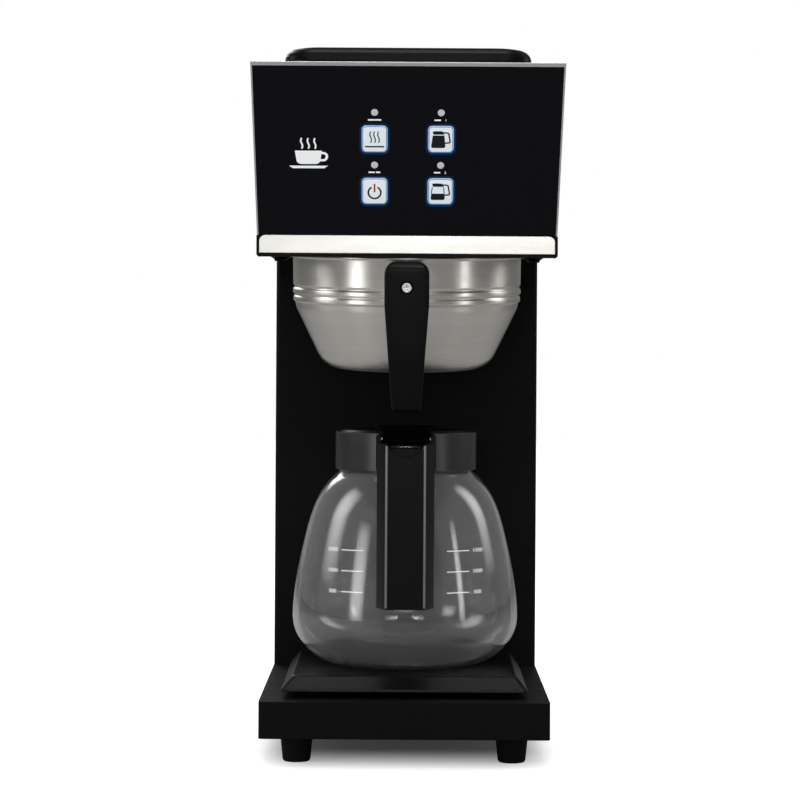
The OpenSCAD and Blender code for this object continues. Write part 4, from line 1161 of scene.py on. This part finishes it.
jug = {
    "belly": 78.6,      # radius of the wall's middle at its widest
    "neck": 45.8,
    "wall": 2.4,
    "steps": 144,
    "marks": (84.2, 70.2, 56.1),      # heights of the scale's lines
    "numbers": ("1500", "1000", "500"),
    "markFrom": 28.6, "markTo": 43.8,
    "markWidth": 0.5,
    "numberSize": 3.57,
    "numberGap": 6.0,     # from the end of a line to the middle of its number
    "ink": 0.03,
    "lidEdge": 0.5,
}


def bowed(start, pull, end, steps=9):
    # points of a bow from start to end that leans towards pull
    a, c, b = Vector(start), Vector(pull), Vector(end)
    return [(1 - t) ** 2 * a + 2 * t * (1 - t) * c + t * t * b for t in (n / steps for n in range(steps + 1))]


def jugLine():
    belly, neck = jug["belly"], jug["neck"]
    return [
        Vector((0, 1.5)), Vector((20, 1.5)), Vector((40, 1.5)), Vector((46, 1.5)),
        *bowed((50, 1.6), (60, 3.2), (68, 11)),
        *bowed((70, 13.2), (belly, 22), (belly, 34)),
        *bowed((belly - 0.1, 38), (belly - 1.3, 62), (belly - 10.6, 98), 12),
        *bowed((belly - 11.6, 101.5), (belly - 16.8, 121), (neck + 4.7, 131.5), 12),
        Vector((neck + 0.8, 135)), Vector((neck, 138)), Vector((neck, 147)), Vector((neck, 155.8)),
    ]


def shifted(line, distance):
    # the same line moved sideways: outwards for a positive distance
    result = []
    for n, here in enumerate(line):
        run = (line[min(n + 1, len(line) - 1)] - line[max(n - 1, 0)]).normalized()
        result.append(Vector((max(here.x + run.y * distance, 0), here.y - run.x * distance)))
    return result


def makeGlassJug():
    half = jug["wall"] / 2
    line = jugLine()
    outer, inner = shifted(line, half), shifted(line, -half)
    lip = [Vector(p) for p in arc(jug["neck"], 155.8, half, 0, 180, 8)]
    bm = turned(outer[:-1] + lip + inner[-2::-1], jug["steps"])
    newPiece("glassJug", moved(bm, carafePlace), materials["clearGlass"], "carafe", "carafe_glass", smooth=60)


def wrapped(bm):
    # lays flat marks, drawn across and up, round the front of the jug
    outer = shifted(jugLine(), jug["wall"] / 2)
    for vert in bm.verts:
        z = vert.co.z / mm
        n = next(k for k in range(8, len(outer)) if outer[k].y >= z)
        low, high = outer[n - 1], outer[n]
        radius = low.x + (high.x - low.x) * (z - low.y) / (high.y - low.y)
        turn = math.asin(vert.co.x / mm / radius)
        radius += jug["ink"] - vert.co.y / mm
        vert.co = (radius * math.sin(turn) * mm, -radius * math.cos(turn) * mm, vert.co.z)
    return bm


def numeral(text, size):
    # numerals as a flat mesh in the X-Z plane, centred
    data = bpy.data.curves.new("numerals", "FONT")
    data.body, data.size = text, size * mm
    data.align_x, data.align_y = "CENTER", "CENTER"
    holder = bpy.data.objects.new("numerals", data)
    bpy.context.collection.objects.link(holder)
    graph = bpy.context.evaluated_depsgraph_get()
    mesh = bpy.data.meshes.new_from_object(holder.evaluated_get(graph))
    bm = bmesh.new()
    bm.from_mesh(mesh)
    bpy.data.objects.remove(holder)
    bpy.data.meshes.remove(mesh)
    return moved(bm, forward)


def makeScale():
    parts = []
    start, end = jug["markFrom"], jug["markTo"]
    steps = [start + (end - start) * n / 10 for n in range(11)]
    for height, number in zip(jug["marks"], jug["numbers"]):
        for side in (-1, 1):
            parts.append(stroke([(side * x, height) for x in steps], jug["markWidth"]))
            digits = numeral(number, jug["numberSize"])
            across = side * (end + jug["numberGap"]) * mm
            parts.append(moved(digits, Matrix.Translation((across, 0, height * mm))))
    bm = moved(wrapped(raisedMark(joined(*parts), jug["ink"] * mm)), carafePlace)
    newPiece("jugScale", bm, materials["glassPrint"], "carafe", slot="carafe_glass")


gripEdges = {
    # in millimetres, from the middle of the hotplate's top
    "across": 12.7, "low": 50.0, "high": 158.0, "radius": 0.85, "corner": 0.6, "sunk": 0.5,
}


def makeGripEdges():
    # the two rounded ribs down the front of the carafe's handle, in a lighter grey that is a painted
    # highlight of the handle's edges besides their real gloss
    grip = gripEdges
    front = (lowOf("carafe_handle").y - carafePlace.translation.y) / mm
    low, high, radius, corner = grip["low"], grip["high"], grip["radius"], grip["corner"]
    line = corners([(0, low, 0), (radius, low, corner), (radius, high, corner), (0, high, 0)], 4)
    parts = []
    for side in (-1, 1):
        place = Matrix.Translation((side * grip["across"] * mm, (front + grip["sunk"]) * mm, 0))
        parts.append(moved(turned(line, 20), place))
    bm = moved(joined(*parts), carafePlace)
    newPiece("gripEdges", bm, materials["paintedHighlightEdge"], "carafe", slot="handle_black")


def makeCarafeLid():
    bm = copied("carafe_lid")
    rounded(bm, sharpEdges(bm), jug["lidEdge"] * mm, 3)
    evened(newPiece("carafeLid", bm, materials["handleBlack"], "carafe_lid", "carafe_lid"))


makeGlassJug()
makeScale()
makeCarafeLid()
makeGripEdges()
print("stage: carafe")


# Pour-in lid: a moulded cover with rounded shoulders and a slight crown

pourLid = {
    "width": 171.0, "depth": 190.0, "corner": 18.0, "deck": 469.4, "middle": -31.25,
    # inset and height of the rings, from the skirt's foot to the crown
    "rings": (
        (0, 0.6), (0, 10.5), (0.35, 13.2), (1.4, 15.6), (3.2, 17.6), (5.8, 19.1), (9.0, 19.9),
        (24.0, 20.6), (50, 21.0)),
    "hollow": (165.0, 172.0, 16.0, 15.0),
    "hinge": (60.0, 59.75, 8.0),       # across, back, height over the deck
    "bore": (1.55, 8.3),               # radius and half its length
    "earRoom": 3.2,                    # half width of the slot for a bracket's ear
    "footRoom": 11.5,                  # and of the slot for its foot
    "over": 4,                         # both slots reach this far over the ear and the foot
}


def pocket(middle, half, near, far, top, below=3):
    # a block in millimetres that clears room upwards from a little below the lid
    tool = block(2 * half * mm, (far - near) * mm, (top + below) * mm)
    place = (middle * mm, (near + far) / 2 * mm, (top - below) / 2 * mm)
    return moved(tool, Matrix.Translation(place))


def makePourLid():
    lid = pourLid
    width, depth, radius = lid["width"], lid["depth"], lid["corner"]
    x, y = width / 2, depth / 2
    outline = corners([
        (0, -y, 0), (x, -y, radius), (x, y, radius), (-x, y, radius), (-x, -y, radius), (0, -y, 0)], 10)[:-1]
    bm = bmesh.new()
    rings = lid["rings"]
    top = bm.faces.new([bm.verts.new((p.x * mm, p.y * mm, rings[0][1] * mm)) for p in outline])
    for (before, _), (inset, height) in zip(rings, rings[1:]):
        new = bmesh.ops.extrude_face_region(bm, geom=[top], use_keep_orig=not before and height < 11)["geom"]
        verts = fresh(new)
        factor = [(size - 2 * inset) / (size - 2 * before) for size in (width, depth)]
        bmesh.ops.scale(bm, vec=(*factor, 1), verts=verts)
        for vert in verts:
            vert.co.z = height * mm
        top = next(f for f in new if isinstance(f, bmesh.types.BMFace))
    outward(bm)
    wide, long, tall, inner = lid["hollow"]
    tools = [block(wide * mm, long * mm, 2 * tall * mm, inner * mm, "Z", 8)]
    across, back, up = lid["hinge"]
    back -= lid["middle"]
    radius, half = lid["bore"]
    tools.append(pocket(0, 100, back + 2, back + 12, up - 5.5))
    for side in (-1, 1):
        middle = side * across
        tools.append(pocket(middle, lid["earRoom"], back - 8, back + 22, up + lid["over"]))
        tools.append(pocket(middle, lid["footRoom"], back - 8, back + 22, lid["over"]))
        bore = pin(radius * mm, -half * mm, half * mm, 24)
        tools.append(moved(bore, Matrix.Translation((middle * mm, back * mm, up * mm)) @ sideways))
    for tool in tools:
        bm = cutAway(bm, tool)
    moved(bm, Matrix.Translation((0, lid["middle"] * mm, lid["deck"] * mm)))
    newPiece("pourInLid", bm, materials["lidBlack"], "top_lid", "top_lid", smooth=32)


makePourLid()
print("stage: pour-in lid")


# The floor under the machine

def makeFloor():
    bm = bmesh.new()
    bmesh.ops.create_grid(bm, x_segments=1, y_segments=1, size=6)
    mesh = bpy.data.meshes.new("floor")
    bm.to_mesh(mesh)
    bm.free()
    floor = bpy.data.objects.new("floor", mesh)
    bpy.context.collection.objects.link(floor)
    material, tree, shader, place = blankMaterial("paleFloor", view["floor"])
    grain = useGroup(tree, "grain", Vector=place.outputs["Object"], Scale=40.0)
    tinted(tree, shader, grain.outputs["Tone"], [c * 0.985 for c in view["floor"]], view["floor"])
    shader.inputs["Roughness"].default_value = 0.6
    shader.inputs["Specular IOR Level"].default_value = 0.1
    # the camera sees a bright sweep with a soft shade below the base; the machine sees a dim one
    wide, long, soft = view["shade"]
    parts = axesOf(tree, place.outputs["Object"])
    shade = None
    for label, reach, edge in (("X", wide, soft * 0.4), ("Y", long, soft)):
        fade = tree.nodes.new("ShaderNodeMapRange")
        fade.interpolation_type = "SMOOTHSTEP"
        tree.links.new(mathNode(tree, "ABSOLUTE", parts[label]), fade.inputs["Value"])
        fade.inputs["From Min"].default_value = reach - edge
        fade.inputs["From Max"].default_value = reach
        fade.inputs["To Min"].default_value = 1
        fade.inputs["To Max"].default_value = 0
        out = fade.outputs["Result"]
        shade = mathNode(tree, "MULTIPLY", shade, out) if shade else out
    path = tree.nodes.new("ShaderNodeLightPath")
    shader.inputs["Emission Color"].default_value = (1, 1, 1, 1)
    bright = spread(tree, shade, view["floorGlow"], view["floorGlow"] * 0.03)
    tree.links.new(
        mathNode(tree, "MULTIPLY", path.outputs["Is Camera Ray"], bright), shader.inputs["Emission Strength"])
    mesh.materials.append(material)


makeFloor()
print("stage: floor")
